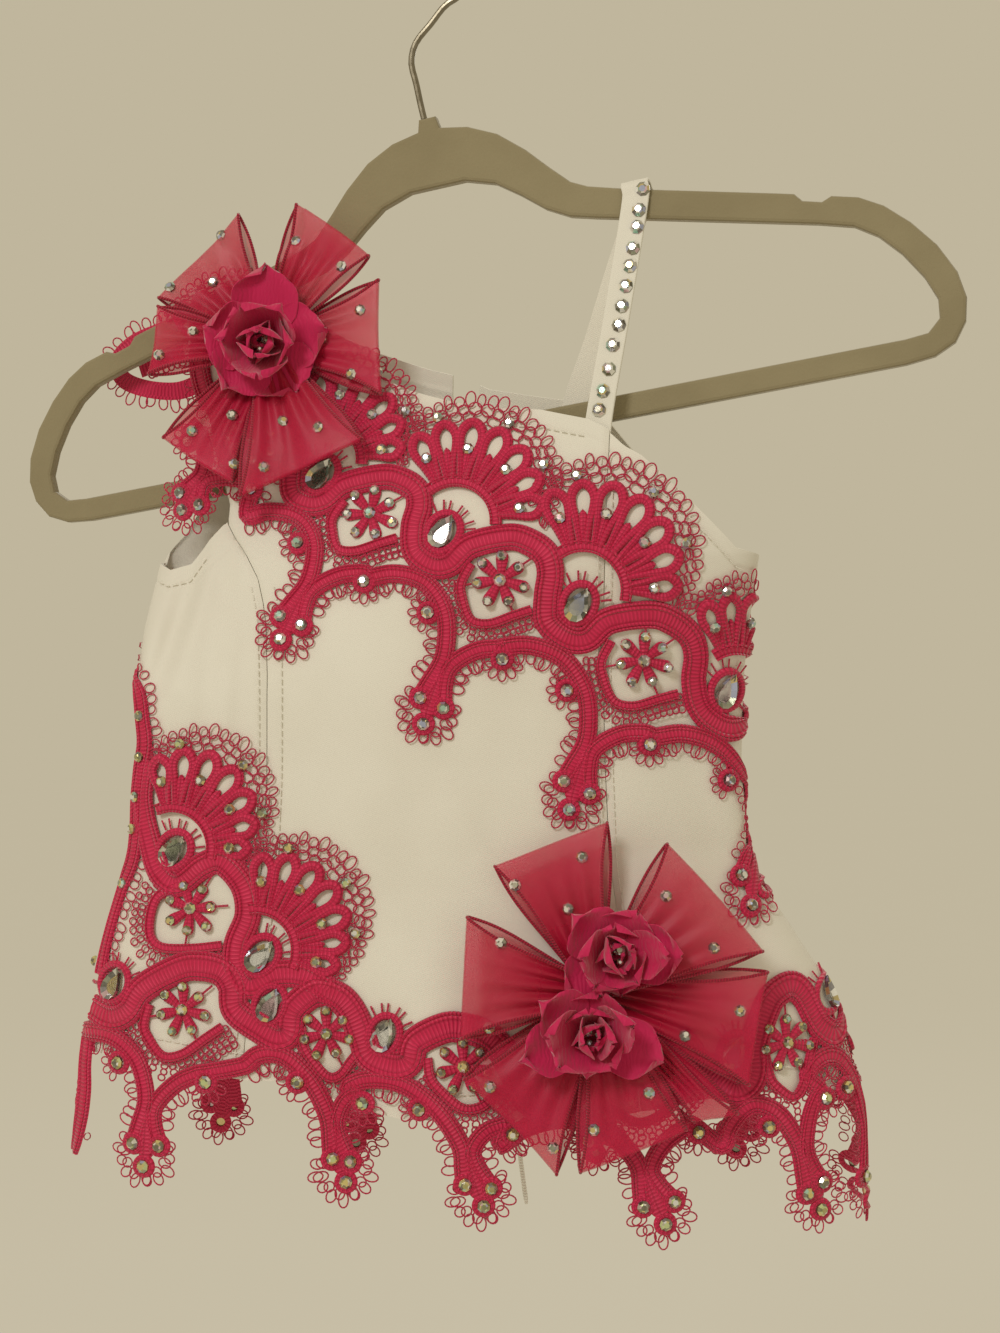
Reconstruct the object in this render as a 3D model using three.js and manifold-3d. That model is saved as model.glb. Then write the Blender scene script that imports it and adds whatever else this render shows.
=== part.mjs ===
// One-shoulder pageant top on a flocked clothes hanger.
// Millimetres, +Z up, +X to the right of someone facing the front, the front faces -Y.
// The origin is the point of the hook that rests on a rail.
import * as THREE from "three";
import { mergeVertices } from "three/addons/utils/BufferGeometryUtils.js";
import Module from "manifold-3d";

const wasm = await Module();
wasm.setup();

// ---- driving dimensions ----
const HANGER_TILT = THREE.MathUtils.degToRad(8.8);
const HANGER_TURN = THREE.MathUtils.degToRad(15.3);
const HANGER_THICK = 5.5;
const HANGER_ROUNDING = 1.2;
const HOOK_REST_HEIGHT = 183.4;
const HOOK_WIRE = 2.4;
const HOOK_BOWL_RADIUS = 19;

const PANEL_WALL = 1.5;
const LACE_WALL = 1.2;
const RIBBON_WALL = 1.0;
const STRAP_WALL = 1.4;
const STRAP_WIDTH = 10;
const GAP = 0.3;
const SEAM_HALF_GAP = 0.2;
const SECTION_POWER = 2.6;
const BACK_OPENING = 10;
const BACK_OPENING_X = 24;
const LACING_CORD = 1.8;
const SHOULDER_EASE = 0.7;
const SHOULDER_ROLL = HANGER_THICK / 2 + GAP + PANEL_WALL + SHOULDER_EASE;

// ---- colours ----
const WHITE_KNIT = 0xe9e2cf;
const HANGER_VELVET = 0x93856a;
const HOOK_METAL = 0xb9b6ae;
const LACE_PINK = 0xc81e4b;
const ORGANZA_PINK = 0xbe3c55;
const CHIFFON_PINK = 0xa51446;
const CORD_WHITE = 0xddd8cc;

// ---- hanger frame of reference ----
const acrossHanger = new THREE.Vector3(
  Math.cos(HANGER_TILT) * Math.cos(HANGER_TURN),
  -Math.cos(HANGER_TILT) * Math.sin(HANGER_TURN),
  Math.sin(HANGER_TILT),
);
const upHanger = new THREE.Vector3(
  -Math.sin(HANGER_TILT) * Math.cos(HANGER_TURN),
  Math.sin(HANGER_TILT) * Math.sin(HANGER_TURN),
  Math.cos(HANGER_TILT),
);
const outOfHanger = new THREE.Vector3().crossVectors(acrossHanger, upHanger);
const hangerFoot = upHanger.clone().multiplyScalar(-HOOK_REST_HEIGHT);

function hangerPoint(across, up, out) {
  return hangerFoot
    .clone()
    .addScaledVector(acrossHanger, across)
    .addScaledVector(upHanger, up)
    .addScaledVector(outOfHanger, out);
}

// ---- small helpers ----
const group = new THREE.Group();

function material(color, roughness, metalness = 0) {
  return new THREE.MeshStandardMaterial({ color, roughness, metalness });
}

function add(name, geometry, finish) {
  const mesh = new THREE.Mesh(geometry, finish);
  mesh.name = name;
  group.add(mesh);
  return mesh;
}

function smoothStep(from, to, value) {
  const t = Math.min(1, Math.max(0, (value - from) / (to - from)));
  return t * t * (3 - 2 * t);
}

// Reads a value from a table of [key, value, ...] rows whose keys all rise or all fall.
function lookUp(table, key, column = 1) {
  const rising = table[table.length - 1][0] > table[0][0];
  const rows = rising ? table : [...table].reverse();
  if (key <= rows[0][0]) return rows[0][column];
  for (let i = 1; i < rows.length; i += 1) {
    if (key <= rows[i][0]) {
      const t = (key - rows[i - 1][0]) / (rows[i][0] - rows[i - 1][0]);
      return rows[i - 1][column] + t * (rows[i][column] - rows[i - 1][column]);
    }
  }
  return rows[rows.length - 1][column];
}

// A closed wall between an outer and an inner sheet. pointAt(i, j, side) gives the corner in
// column i and row j; side 1 is the outer sheet, which faces out where columns run left to
// right and rows run upwards seen from outside.
function wallGeometry(columns, rows, pointAt) {
  const positions = [];
  const index = [];
  const at = (i, j, side) => side * (columns + 1) * (rows + 1) + j * (columns + 1) + i;
  for (let side = 0; side <= 1; side += 1) {
    for (let j = 0; j <= rows; j += 1) {
      for (let i = 0; i <= columns; i += 1) {
        const p = pointAt(i, j, side);
        positions.push(p.x, p.y, p.z);
      }
    }
  }
  const quad = (a, b, c, d) => index.push(a, b, c, a, c, d);
  for (let j = 0; j < rows; j += 1) {
    for (let i = 0; i < columns; i += 1) {
      quad(at(i, j, 1), at(i + 1, j, 1), at(i + 1, j + 1, 1), at(i, j + 1, 1));
      quad(at(i, j, 0), at(i, j + 1, 0), at(i + 1, j + 1, 0), at(i + 1, j, 0));
    }
  }
  for (let i = 0; i < columns; i += 1) {
    quad(at(i, 0, 0), at(i + 1, 0, 0), at(i + 1, 0, 1), at(i, 0, 1));
    quad(at(i, rows, 1), at(i + 1, rows, 1), at(i + 1, rows, 0), at(i, rows, 0));
  }
  for (let j = 0; j < rows; j += 1) {
    quad(at(0, j, 0), at(0, j, 1), at(0, j + 1, 1), at(0, j + 1, 0));
    quad(at(columns, j, 1), at(columns, j, 0), at(columns, j + 1, 0), at(columns, j + 1, 1));
  }
  const geometry = new THREE.BufferGeometry();
  geometry.setAttribute("position", new THREE.Float32BufferAttribute(positions, 3));
  geometry.setIndex(index);
  return geometry;
}

// ---- hanger ----
// Half of the hanger's outline, from the hub to the middle of its bar: [across, up].
const HANGER_OUTER = [
  [3.2, 118], [4.2, 113.5], [14.5, 111.5], [25, 106.5], [34.5, 98.5], [42, 90.5], [49, 83.5],
  [55, 80.5], [70, 76.2], [122, 63.2], [126.5, 62], [129, 59], [135.5, 57.2], [139, 58.6],
  [148, 56.2], [156, 51.5], [164, 44], [171.5, 34.5], [176.8, 24], [178.5, 15], [177, 7],
  [172.5, 0.5], [165, -3], [155, -4],
];
const HANGER_INNER = [
  [10.5, 92.3], [21.6, 88.8], [30, 82.8], [38.5, 75.8], [47, 71.2], [56, 68.8], [133, 50],
  [145, 46.5], [152.5, 41.5], [159.5, 33.8], [165.5, 24.5], [169, 16], [168.5, 9.5],
  [164, 5.3], [156, 4.6],
];
// The strap notch is cut in the upper edge of each arm.
function hangerOutline(half) {
  const right = half.map(([across, up]) => new THREE.Vector2(across, up));
  const left = half.map(([across, up]) => new THREE.Vector2(-across, up)).reverse();
  return [...right, ...left];
}

function hangerGeometry(clearance) {
  const shape = new THREE.Shape(hangerOutline(HANGER_OUTER).reverse());
  shape.holes.push(new THREE.Path(hangerOutline(HANGER_INNER)));
  const geometry = new THREE.ExtrudeGeometry(shape, {
    depth: HANGER_THICK - 2 * HANGER_ROUNDING + 2 * clearance,
    bevelEnabled: true,
    bevelThickness: HANGER_ROUNDING,
    bevelSize: HANGER_ROUNDING,
    bevelOffset: clearance - HANGER_ROUNDING,
    bevelSegments: 2,
    steps: 1,
  });
  geometry.translate(0, 0, -HANGER_THICK / 2 + HANGER_ROUNDING - clearance);
  return geometry;
}

const hangerAxes = new THREE.Matrix4().makeBasis(acrossHanger, upHanger, outOfHanger);

function buildHanger() {
  const frame = add("hanger_frame", hangerGeometry(0), material(HANGER_VELVET, 0.95));
  frame.quaternion.setFromRotationMatrix(hangerAxes);
  frame.position.copy(hangerFoot);
}

function toSolid(geometry) {
  const bare = geometry.clone();
  bare.deleteAttribute("normal");
  bare.deleteAttribute("uv");
  const merged = mergeVertices(bare, 1e-4);
  const mesh = new wasm.Mesh({
    numProp: 3,
    vertProperties: new Float32Array(merged.attributes.position.array),
    triVerts: new Uint32Array(merged.index.array),
  });
  return new wasm.Manifold(mesh);
}

function fromSolid(solid) {
  const mesh = solid.getMesh();
  const geometry = new THREE.BufferGeometry();
  geometry.setAttribute("position", new THREE.BufferAttribute(mesh.vertProperties, 3));
  geometry.setIndex(new THREE.BufferAttribute(mesh.triVerts, 1));
  return geometry;
}

// Cuts away what would run into the hanger, with a seam's clearance.
function cutClearOfHanger(geometry) {
  const place = new THREE.Matrix4().makeTranslation(hangerFoot).multiply(hangerAxes);
  const cutter = toSolid(hangerGeometry(GAP).applyMatrix4(place));
  const pieces = toSolid(geometry).subtract(cutter).decompose();
  pieces.sort((one, other) => other.volume() - one.volume());
  return fromSolid(pieces[0]);
}

class WirePath extends THREE.Curve {
  constructor(points) {
    super();
    this.smooth = new THREE.CatmullRomCurve3(points, false, "centripetal");
  }

  getPoint(t, target = new THREE.Vector3()) {
    return target.copy(this.smooth.getPoint(t));
  }
}

function circleShape(diameter, sides) {
  const points = [];
  for (let i = 0; i < sides; i += 1) {
    const angle = (2 * Math.PI * i) / sides;
    points.push(new THREE.Vector2((Math.cos(angle) * diameter) / 2, (Math.sin(angle) * diameter) / 2));
  }
  return new THREE.Shape(points);
}

function tube(name, points, diameter, steps, sides, finish) {
  const geometry = new THREE.ExtrudeGeometry(circleShape(diameter, sides), {
    steps,
    bevelEnabled: false,
    extrudePath: new WirePath(points),
  });
  add(name, geometry, finish);
}

function buildHook() {
  const HUB_TOP = 118;
  const BEND = [[-2.6, 132], [-3.2, 140], [-0.6, 146.5], [6.5, 152.5], [12.5, 157.5]];
  const centre = HOOK_REST_HEIGHT - HOOK_BOWL_RADIUS;
  const wireRadius = HOOK_BOWL_RADIUS + HOOK_WIRE / 2;
  const flat = [[-1.6, HUB_TOP + GAP], [-2.1, 124], ...BEND];
  const BOWL_FROM = -10;
  const BOWL_TO = 166;
  const BOWL_POINTS = 10;
  for (let i = 0; i <= BOWL_POINTS; i += 1) {
    const angle = THREE.MathUtils.degToRad(BOWL_FROM + ((BOWL_TO - BOWL_FROM) * i) / BOWL_POINTS);
    flat.push([Math.cos(angle) * wireRadius, centre + Math.sin(angle) * wireRadius]);
  }
  const points = flat.map(([across, up]) => hangerPoint(across, up, 0));
  tube("hanger_hook", points, HOOK_WIRE, 44, 10, material(HOOK_METAL, 0.25, 1));
}

// ---- body of the top: one tube surface that every cloth piece follows ----
// Level, left edge, right edge, depth of the front and of the back from the middle plane.
const SECTIONS = [
  [-118, -98, 127, 4.6, 4.6],
  [-130, -108, 127, 6.5, 6.5],
  [-160, -110, 127, 13, 13],
  [-190, -100, 127, 20, 19],
  [-226, -92.5, 127.5, 27, 25],
  [-250, -95, 125.5, 27, 25],
  [-300, -97.2, 123.8, 26, 24],
  [-330, -98.6, 125.8, 27, 26],
  [-343, -101, 131, 28, 28],
  [-357, -105.2, 141, 30, 30],
  [-373, -109.6, 151, 33, 33],
  [-388, -112.7, 158, 35, 35],
  [-404, -115.2, 163, 37, 37],
  [-422, -117, 167, 38, 38],
  [-480, -119, 169, 40, 40],
];
const LEFT = 1;
const RIGHT = 2;
const FRONT = 3;
const BACK = 4;

// Soft folds of the front: start and end in x and z, half width, depth (a trough is negative).
const FRONT_FOLDS = [
  { from: [-75, -224], to: [-87, -272], reach: 6.5, depth: -7 },
  { from: [-69, -219], to: [-81, -272], reach: 5, depth: 3.5 },
  { from: [-65, -228], to: [-60, -246], reach: 5, depth: -2 },
  { from: [-88, -320], to: [-70, -345], reach: 9, depth: -2 },
  { from: [104, -300], to: [118, -345], reach: 9, depth: -3 },
  { from: [90, -330], to: [60, -345], reach: 10, depth: -2 },
  { from: [-20, -400], to: [-16, -440], reach: 10, depth: -4 },
  { from: [16, -396], to: [20, -440], reach: 11, depth: 3 },
  { from: [130, -380], to: [138, -440], reach: 10, depth: 4 },
  { from: [104, -392], to: [108, -440], reach: 9, depth: -3 },
];
const BACK_FOLDS = [
  { from: [-70, -222], to: [-84, -268], reach: 7, depth: -5 },
  { from: [100, -226], to: [112, -262], reach: 7, depth: -4 },
  { from: [-56, -330], to: [-20, -338], reach: 9, depth: -2 },
  { from: [70, -334], to: [104, -326], reach: 9, depth: -3 },
  { from: [-60, -390], to: [-64, -440], reach: 11, depth: -4 },
  { from: [90, -390], to: [96, -440], reach: 11, depth: -2 },
];

function foldDepth(folds, x, z) {
  let total = 0;
  for (const fold of folds) {
    const alongX = fold.to[0] - fold.from[0];
    const alongZ = fold.to[1] - fold.from[1];
    const length2 = alongX * alongX + alongZ * alongZ;
    const t = ((x - fold.from[0]) * alongX + (z - fold.from[1]) * alongZ) / length2;
    const held = Math.min(1, Math.max(0, t));
    const away = Math.hypot(x - fold.from[0] - held * alongX, z - fold.from[1] - held * alongZ);
    total += fold.depth * Math.exp(-((away / fold.reach) ** 2)) * (0.45 + 0.55 * Math.sin(Math.PI * held));
  }
  return total;
}

const LEAN_FROM = -280;
const LEAN_TO = -205;

// The upper part leans with the hanger, which hangs turned about its hook.
function middlePlane(x, z) {
  const follows = smoothStep(LEAN_FROM, LEAN_TO, z);
  return hangerFoot.y + follows * (hangerFoot.x - x) * Math.tan(HANGER_TURN);
}

function angleAt(x, z, onBack) {
  const centre = (lookUp(SECTIONS, z, LEFT) + lookUp(SECTIONS, z, RIGHT)) / 2;
  const half = (lookUp(SECTIONS, z, RIGHT) - lookUp(SECTIONS, z, LEFT)) / 2;
  const share = Math.min(1, Math.max(-1, (x - centre) / half));
  const cosine = -Math.sign(share) * Math.abs(share) ** (SECTION_POWER / 2);
  const angle = Math.acos(cosine);
  return onBack ? 2 * Math.PI - angle : angle;
}

function surface(angle, z) {
  const left = lookUp(SECTIONS, z, LEFT);
  const right = lookUp(SECTIONS, z, RIGHT);
  const cosine = Math.cos(angle);
  const sine = Math.sin(angle);
  const squash = 2 / SECTION_POWER;
  const x = (left + right) / 2 - ((right - left) / 2) * Math.sign(cosine) * Math.abs(cosine) ** squash;
  const share = Math.abs(sine) ** squash;
  const front = sine >= 0;
  const depth = lookUp(SECTIONS, z, front ? FRONT : BACK) * share;
  const fold = foldDepth(front ? FRONT_FOLDS : BACK_FOLDS, x, z) * share;
  const side = front ? -1 : 1;
  return new THREE.Vector3(x, middlePlane(x, z) + side * (depth + fold), z);
}

// A point of the body surface moved out along its own direction.
function bodyPoint(angle, z, out) {
  const ANGLE_STEP = 0.01;
  const LEVEL_STEP = 1;
  const point = surface(angle, z);
  const around = surface(angle + ANGLE_STEP, z).sub(surface(angle - ANGLE_STEP, z));
  const upwards = surface(angle, z + LEVEL_STEP).sub(surface(angle, z - LEVEL_STEP));
  const normal = around.cross(upwards).normalize();
  return point.addScaledVector(normal, out);
}

// Height of the cloth where it crosses the hanger's arm.
const ARM_BEND = -55;
const ARM_TOP = 80.5;
const ARM_SLOPE = 0.2585;
function shoulderLine(x) {
  const across = (x - hangerFoot.x + upHanger.x * -ARM_TOP) / acrossHanger.x;
  const armTop = across < ARM_BEND ? ARM_TOP + (across - ARM_BEND) * ARM_SLOPE : ARM_TOP;
  return hangerPoint(across, armTop, 0).z + GAP + PANEL_WALL + SHOULDER_EASE;
}

// ---- edges of the panels: [z, x] for seams, [x, z] for top and bottom edges ----
const LEFT_SEAM = [
  [-422, -55], [-361, -50.5], [-328, -47.5], [-304, -46.5], [-268, -46.5], [-250, -47.5],
  [-242, -49], [-233, -51.5], [-224, -56.5], [-218, -61], [-212, -64.5], [-205, -64],
  [-189, -69], [-167, -75], [-144, -82], [-120, -82],
];
const RIGHT_SEAM = [
  [-422, 85], [-365, 79], [-333, 74.5], [-298, 73], [-255, 72], [-227, 72], [-206, 72.5],
  [-183, 74], [-120, 74],
];
const BACK_LEFT_EDGE = [
  [-226, -92.4], [-223, -92], [-214, -84], [-200, -77], [-167, -79], [-144, -84], [-120, -84],
];
const HEM = [
  [-117, -402], [-101, -402], [-53, -408.5], [-42, -408.5], [-9, -419], [1, -421], [65, -421.5],
  [127, -413], [158, -415], [167, -419],
];
const FRONT_CENTRE_TOP = [
  [-50.5, -113.5], [-49, -121], [-44, -131.5], [-35.5, -140.5], [-21.5, -151.5], [-6.5, -160.5],
  [2.5, -165], [11.5, -168], [20, -170.5], [32.5, -173], [50, -174], [66.5, -178], [74, -182],
];
const FRONT_RIGHT_TOP = [
  [74, -183], [79, -188], [85, -191.5], [98.5, -204.5], [107, -213], [118, -224], [127.5, -226],
];
const FRONT_LEFT_TOP = [
  [-92.5, -226], [-86, -229], [-78, -227], [-71.5, -218.5], [-64.5, -211.5],
];
const BACK_TOP = [
  [-50.5, -113.5], [-49, -119], [-44, -127], [-36, -133], [-22, -142], [-8.5, -148], [10, -154.5],
  [23.5, -158], [32.5, -162.5], [46, -165], [64, -168], [76, -176], [98, -203], [118, -224],
  [127.5, -226],
];
const SHOULDER_INNER_X = -50.5;

function edgeLevel(table, x) {
  const crossesArm = table[0][0] === SHOULDER_INNER_X;
  return crossesArm && x < SHOULDER_INNER_X ? shoulderLine(x) : lookUp(table, x);
}

// Rows are even from the hem to where the neighbour's edge ends, so that seams share their
// corners, then even to just under the top edge, then they follow the rolled edge.
const LOWER_ROWS = 12;
const EDGE_DROPS = [7, 4, 1.6, 0];
function rowLevel(j, upperRows, hemLevel, meetingLevel, topLevel) {
  if (j <= LOWER_ROWS) return THREE.MathUtils.lerp(hemLevel, meetingLevel, j / LOWER_ROWS);
  const upper = j - LOWER_ROWS;
  const underEdge = topLevel - EDGE_DROPS[0];
  if (upper <= upperRows) return THREE.MathUtils.lerp(meetingLevel, underEdge, upper / upperRows);
  return topLevel - EDGE_DROPS[upper - upperRows];
}

// Over the hanger's arm the cloth rolls from front to back on a round of SHOULDER_ROLL.
function rollOverShoulder(point, angle, out) {
  if (point.x > SHOULDER_INNER_X + 14) return point;
  const below = shoulderLine(point.x) - point.z;
  const held = Math.min(1, Math.max(0, below / SHOULDER_ROLL));
  const scale = (SHOULDER_ROLL + out) / SHOULDER_ROLL;
  const round = SHOULDER_ROLL * Math.sqrt(1 - (1 - held) ** 2) * scale;
  const side = Math.sin(angle) >= 0 ? -1 : 1;
  const plane = middlePlane(point.x, point.z);
  const depth = Math.abs(point.y - plane);
  const nearTop = 1 - smoothStep(8, 40, below);
  point.y = plane + side * THREE.MathUtils.lerp(depth, Math.max(SEAM_HALF_GAP, round), nearTop);
  point.z += (1 - held) * out;
  return point;
}

// A panel lies between two upright edges given as functions of the level, under a top edge
// found for each of its places from 0 at its left edge to 1 at its right edge.
function panelPoint(panel, place, row, out) {
  const hemAngle = THREE.MathUtils.lerp(panel.left(HEM_MIDDLE), panel.right(HEM_MIDDLE), place);
  const hemLevel = lookUp(HEM, surface(hemAngle, HEM_MIDDLE).x);
  const topLevel = panel.top(place);
  const meetingLevel = panel.meeting ? panel.meeting(place) : topLevel - EDGE_DROPS[0];
  const z = rowLevel(row, panel.upperRows, hemLevel, meetingLevel, topLevel);
  const angle = THREE.MathUtils.lerp(panel.left(z), panel.right(z), place);
  return rollOverShoulder(bodyPoint(angle, z, out), angle, out);
}

const HEM_MIDDLE = -412;
const ARMPIT = -226;

// The top edge of a panel as a function of its column: found by walking up the column.
function topOf(panel, table) {
  return (place) => {
    let z = ARMPIT;
    for (let pass = 0; pass < 24; pass += 1) {
      const angle = THREE.MathUtils.lerp(panel.left(z), panel.right(z), place);
      const wanted = edgeLevel(table, surface(angle, z).x);
      z = THREE.MathUtils.lerp(z, wanted, 0.5);
    }
    return z;
  };
}

function seamAngle(table, gap, onBack) {
  return (z) => angleAt(lookUp(table, z) + gap, z, onBack);
}

// A panel that reaches past its neighbours has a meeting level, and upper rows above it.
function buildPanel(name, left, right, table, columns, meeting, upperRows = 0) {
  const panel = { left, right, meeting, upperRows };
  panel.top = topOf(panel, table);
  const rows = LOWER_ROWS + upperRows + EDGE_DROPS.length - 1;
  const geometry = wallGeometry(columns, rows, (i, j, side) =>
    panelPoint(panel, i / columns, j, side === 1 ? 0 : -PANEL_WALL),
  );
  add(name, upperRows > 0 ? cutClearOfHanger(geometry) : geometry, material(WHITE_KNIT, 0.8));
}

const SIDE_GAP_ANGLE = 0.004;

function buildPanels() {
  const frontMeeting = (place) => THREE.MathUtils.lerp(-218.5, -196, place);
  const backMeeting = (place) => THREE.MathUtils.lerp(-200, -233, place);
  const leftSide = () => SIDE_GAP_ANGLE;
  const rightSide = () => Math.PI - SIDE_GAP_ANGLE;
  const leftSeam = (gap) => seamAngle(LEFT_SEAM, gap, false);
  const rightSeam = (gap) => seamAngle(RIGHT_SEAM, gap, false);
  buildPanel(
    "front_centre",
    leftSeam(SEAM_HALF_GAP),
    rightSeam(-SEAM_HALF_GAP),
    FRONT_CENTRE_TOP,
    12,
    frontMeeting,
    4,
  );
  buildPanel("front_side_left", leftSide, leftSeam(-SEAM_HALF_GAP), FRONT_LEFT_TOP, 7);
  buildPanel("front_side_right", rightSeam(SEAM_HALF_GAP), rightSide, FRONT_RIGHT_TOP, 7);
  const openingEdge = (side) => (z) => angleAt(BACK_OPENING_X + (side * BACK_OPENING) / 2, z, true);
  const backLeftEdge = (z) =>
    z < ARMPIT ? 2 * Math.PI - SIDE_GAP_ANGLE : angleAt(lookUp(BACK_LEFT_EDGE, z), z, true);
  buildPanel("back_right", () => Math.PI + SIDE_GAP_ANGLE, openingEdge(1), BACK_TOP, 9);
  buildPanel("back_left", openingEdge(-1), backLeftEdge, BACK_TOP, 12, backMeeting, 3);
}

// ---- lace appliques: walls that lie on the panels and hang past their edges ----
const LACE_LIFT = 1.2;
const SHOULDER_LACE_LIFT = 2.4;

// Stations of a lace wall: lower edge x and z, upper edge x and z.
const DIAGONAL_LACE = [
  [-84, -190, -84, -134], [-82, -208, -79, -132], [-76.5, -217.5, -74, -130.5],
  [-68, -216, -66, -128], [-61.5, -207, -56, -124], [-51.5, -205, -47, -130],
  [-46, -212, -40, -139], [-46, -245, -35, -145], [-49, -261, -32, -149],
  [-39.5, -263, -28, -152], [-29, -251, -20, -157], [-22, -240, -10, -163],
  [-8, -244, 0, -167.5], [4, -240, 6, -171], [7, -262, 7.5, -188], [0, -275, 9, -182],
  [1, -290, 14, -176.5], [9, -291, 18.5, -174.5], [18.5, -286, 27, -174.5],
  [24, -266, 36, -175.5], [36.5, -268, 51, -177.5], [49, -262, 55, -200],
  [56, -277, 60, -196.5], [50, -298, 68, -192], [51, -320, 76, -192], [62, -322, 84, -195],
  [73, -311, 91, -201], [77, -296, 98, -208], [92, -299, 103, -218], [107, -294, 105, -233],
  [114, -308, 110, -231], [117, -334, 115, -229], [121, -348, 119, -229.5],
  [125, -346, 123, -232],
];
const FRONT_HEM_LACE = [
  [-112, -403, -95, -262], [-106, -402, -93, -276], [-101, -405, -91, -291],
  [-99, -430, -84, -290], [-93, -447, -78, -287], [-82, -440, -70, -284.5],
  [-79, -418, -63, -286], [-68, -412, -55, -291], [-51, -412, -48, -306],
  [-38, -419, -46, -326], [-30, -420, -34, -324], [-24, -438, -26, -327],
  [-13, -453, -18, -334], [-9, -438, -12, -350], [-7, -425, -13, -372], [1, -428, -2, -377],
  [17, -424, 10, -378], [19, -446, 16, -377], [30, -461, 24, -376], [40, -448, 34, -373],
  [42, -429, 43, -370], [63, -427, 60, -368], [80, -433, 74, -368], [83, -454, 82, -369],
  [94, -474, 90, -369], [102, -456, 98, -370], [104, -434, 105, -370], [118, -428, 116, -370],
  [130, -421, 128, -369], [143, -424, 138, -367], [146, -445, 142, -366],
  [150, -464, 146, -367], [156, -444, 149, -370], [160, -422, 152, -376],
  [163, -417, 155, -384],
];
const BACK_SHOULDER_LACE = [
  [-57, -160, -57, -125], [-62, -164, -62, -126.5], [-67, -165, -67, -128],
  [-72, -165, -72, -129], [-78, -163, -78, -131], [-84, -161, -84, -133],
  [-92, -162, -92, -136], [-100, -163, -100, -138.5], [-106, -159, -106, -141],
  [-109, -152, -109, -146],
];

function buildLace(name, stations, onBack, lift = LACE_LIFT) {
  const rows = 5;
  const geometry = wallGeometry(stations.length - 1, rows, (i, j, side) => {
    const [lowX, lowZ, highX, highZ] = stations[i];
    const lowAngle = angleAt(lowX, lowZ, onBack);
    const highAngle = angleAt(highX, highZ, onBack);
    const angle = THREE.MathUtils.lerp(lowAngle, highAngle, j / rows);
    const z = THREE.MathUtils.lerp(lowZ, highZ, j / rows);
    const out = lift + side * LACE_WALL;
    return rollOverShoulder(bodyPoint(angle, z, out), angle, out);
  });
  add(name, geometry, material(LACE_PINK, 0.75));
}

// Hem lace of the back: even scallops with one drop in each repeat.
function backHemStations(fromX, toX, repeats) {
  const PLACES = [0, 0.12, 0.24, 0.34, 0.39, 0.5, 0.61, 0.66, 0.82];
  const DROPS = [0, 0, 1, 3, 22, 38, 22, 3, 1];
  const stations = [];
  for (let k = 0; k < repeats * PLACES.length + 1; k += 1) {
    const place = PLACES[k % PLACES.length];
    const x = THREE.MathUtils.lerp(fromX, toX, (Math.floor(k / PLACES.length) + place) / repeats);
    const hem = lookUp(HEM, x) - 5;
    stations.push([x, hem - DROPS[k % PLACES.length], x, -378 + 9 * Math.sin(Math.PI * place)]);
  }
  return stations;
}

function buildLaces() {
  buildLace("lace_diagonal", DIAGONAL_LACE, false);
  buildLace("lace_hem_front", FRONT_HEM_LACE, false);
  buildLace("lace_shoulder_back", BACK_SHOULDER_LACE, true, SHOULDER_LACE_LIFT);
  buildLace("lace_hem_back_right", backHemStations(150, 43, 2), true);
  const sideRise = [[-108, -402, -93, -330], [-111, -402, -94.5, -262]];
  buildLace("lace_hem_back_left", [...backHemStations(5, -100, 2), ...sideRise], true);
}

// ---- crystal strap: one band looped over the hanger's arm ----
function buildStrap() {
  const ARM_PLACE = 72;
  const ARM_HEIGHT = 75.7;
  const clear = HANGER_THICK / 2 + GAP + STRAP_WALL / 2 + 0.2;
  const path = [
    new THREE.Vector3(70, -33, -190),
    new THREE.Vector3(70.6, -32.6, -178),
    new THREE.Vector3(76, -30.8, -147),
    new THREE.Vector3(81.2, -28.6, -116),
    hangerPoint(ARM_PLACE, ARM_HEIGHT - 3, clear),
    hangerPoint(ARM_PLACE, ARM_HEIGHT + 0.6, clear),
    hangerPoint(ARM_PLACE, ARM_HEIGHT + 2.4, clear * 0.55),
    hangerPoint(ARM_PLACE, ARM_HEIGHT + 2.7, 0),
    hangerPoint(ARM_PLACE, ARM_HEIGHT + 2.4, -clear * 0.55),
    hangerPoint(ARM_PLACE, ARM_HEIGHT + 0.6, -clear),
    hangerPoint(ARM_PLACE, ARM_HEIGHT - 3, -clear),
    new THREE.Vector3(79, -15, -120),
    new THREE.Vector3(71, -9.6, -146),
    new THREE.Vector3(64, -6.2, -166),
    new THREE.Vector3(62.5, -6, -178),
  ];
  const geometry = wallGeometry(2, path.length - 1, (i, j, side) => {
    const before = path[Math.max(0, j - 1)];
    const after = path[Math.min(path.length - 1, j + 1)];
    const along = after.clone().sub(before).normalize();
    const outwards = acrossHanger.clone().cross(along).normalize();
    return path[j]
      .clone()
      .addScaledVector(acrossHanger, (i / 2 - 0.5) * STRAP_WIDTH)
      .addScaledVector(outwards, (side - 0.5) * STRAP_WALL);
  });
  add("crystal_strap", geometry, material(WHITE_KNIT, 0.8));
}

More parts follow.
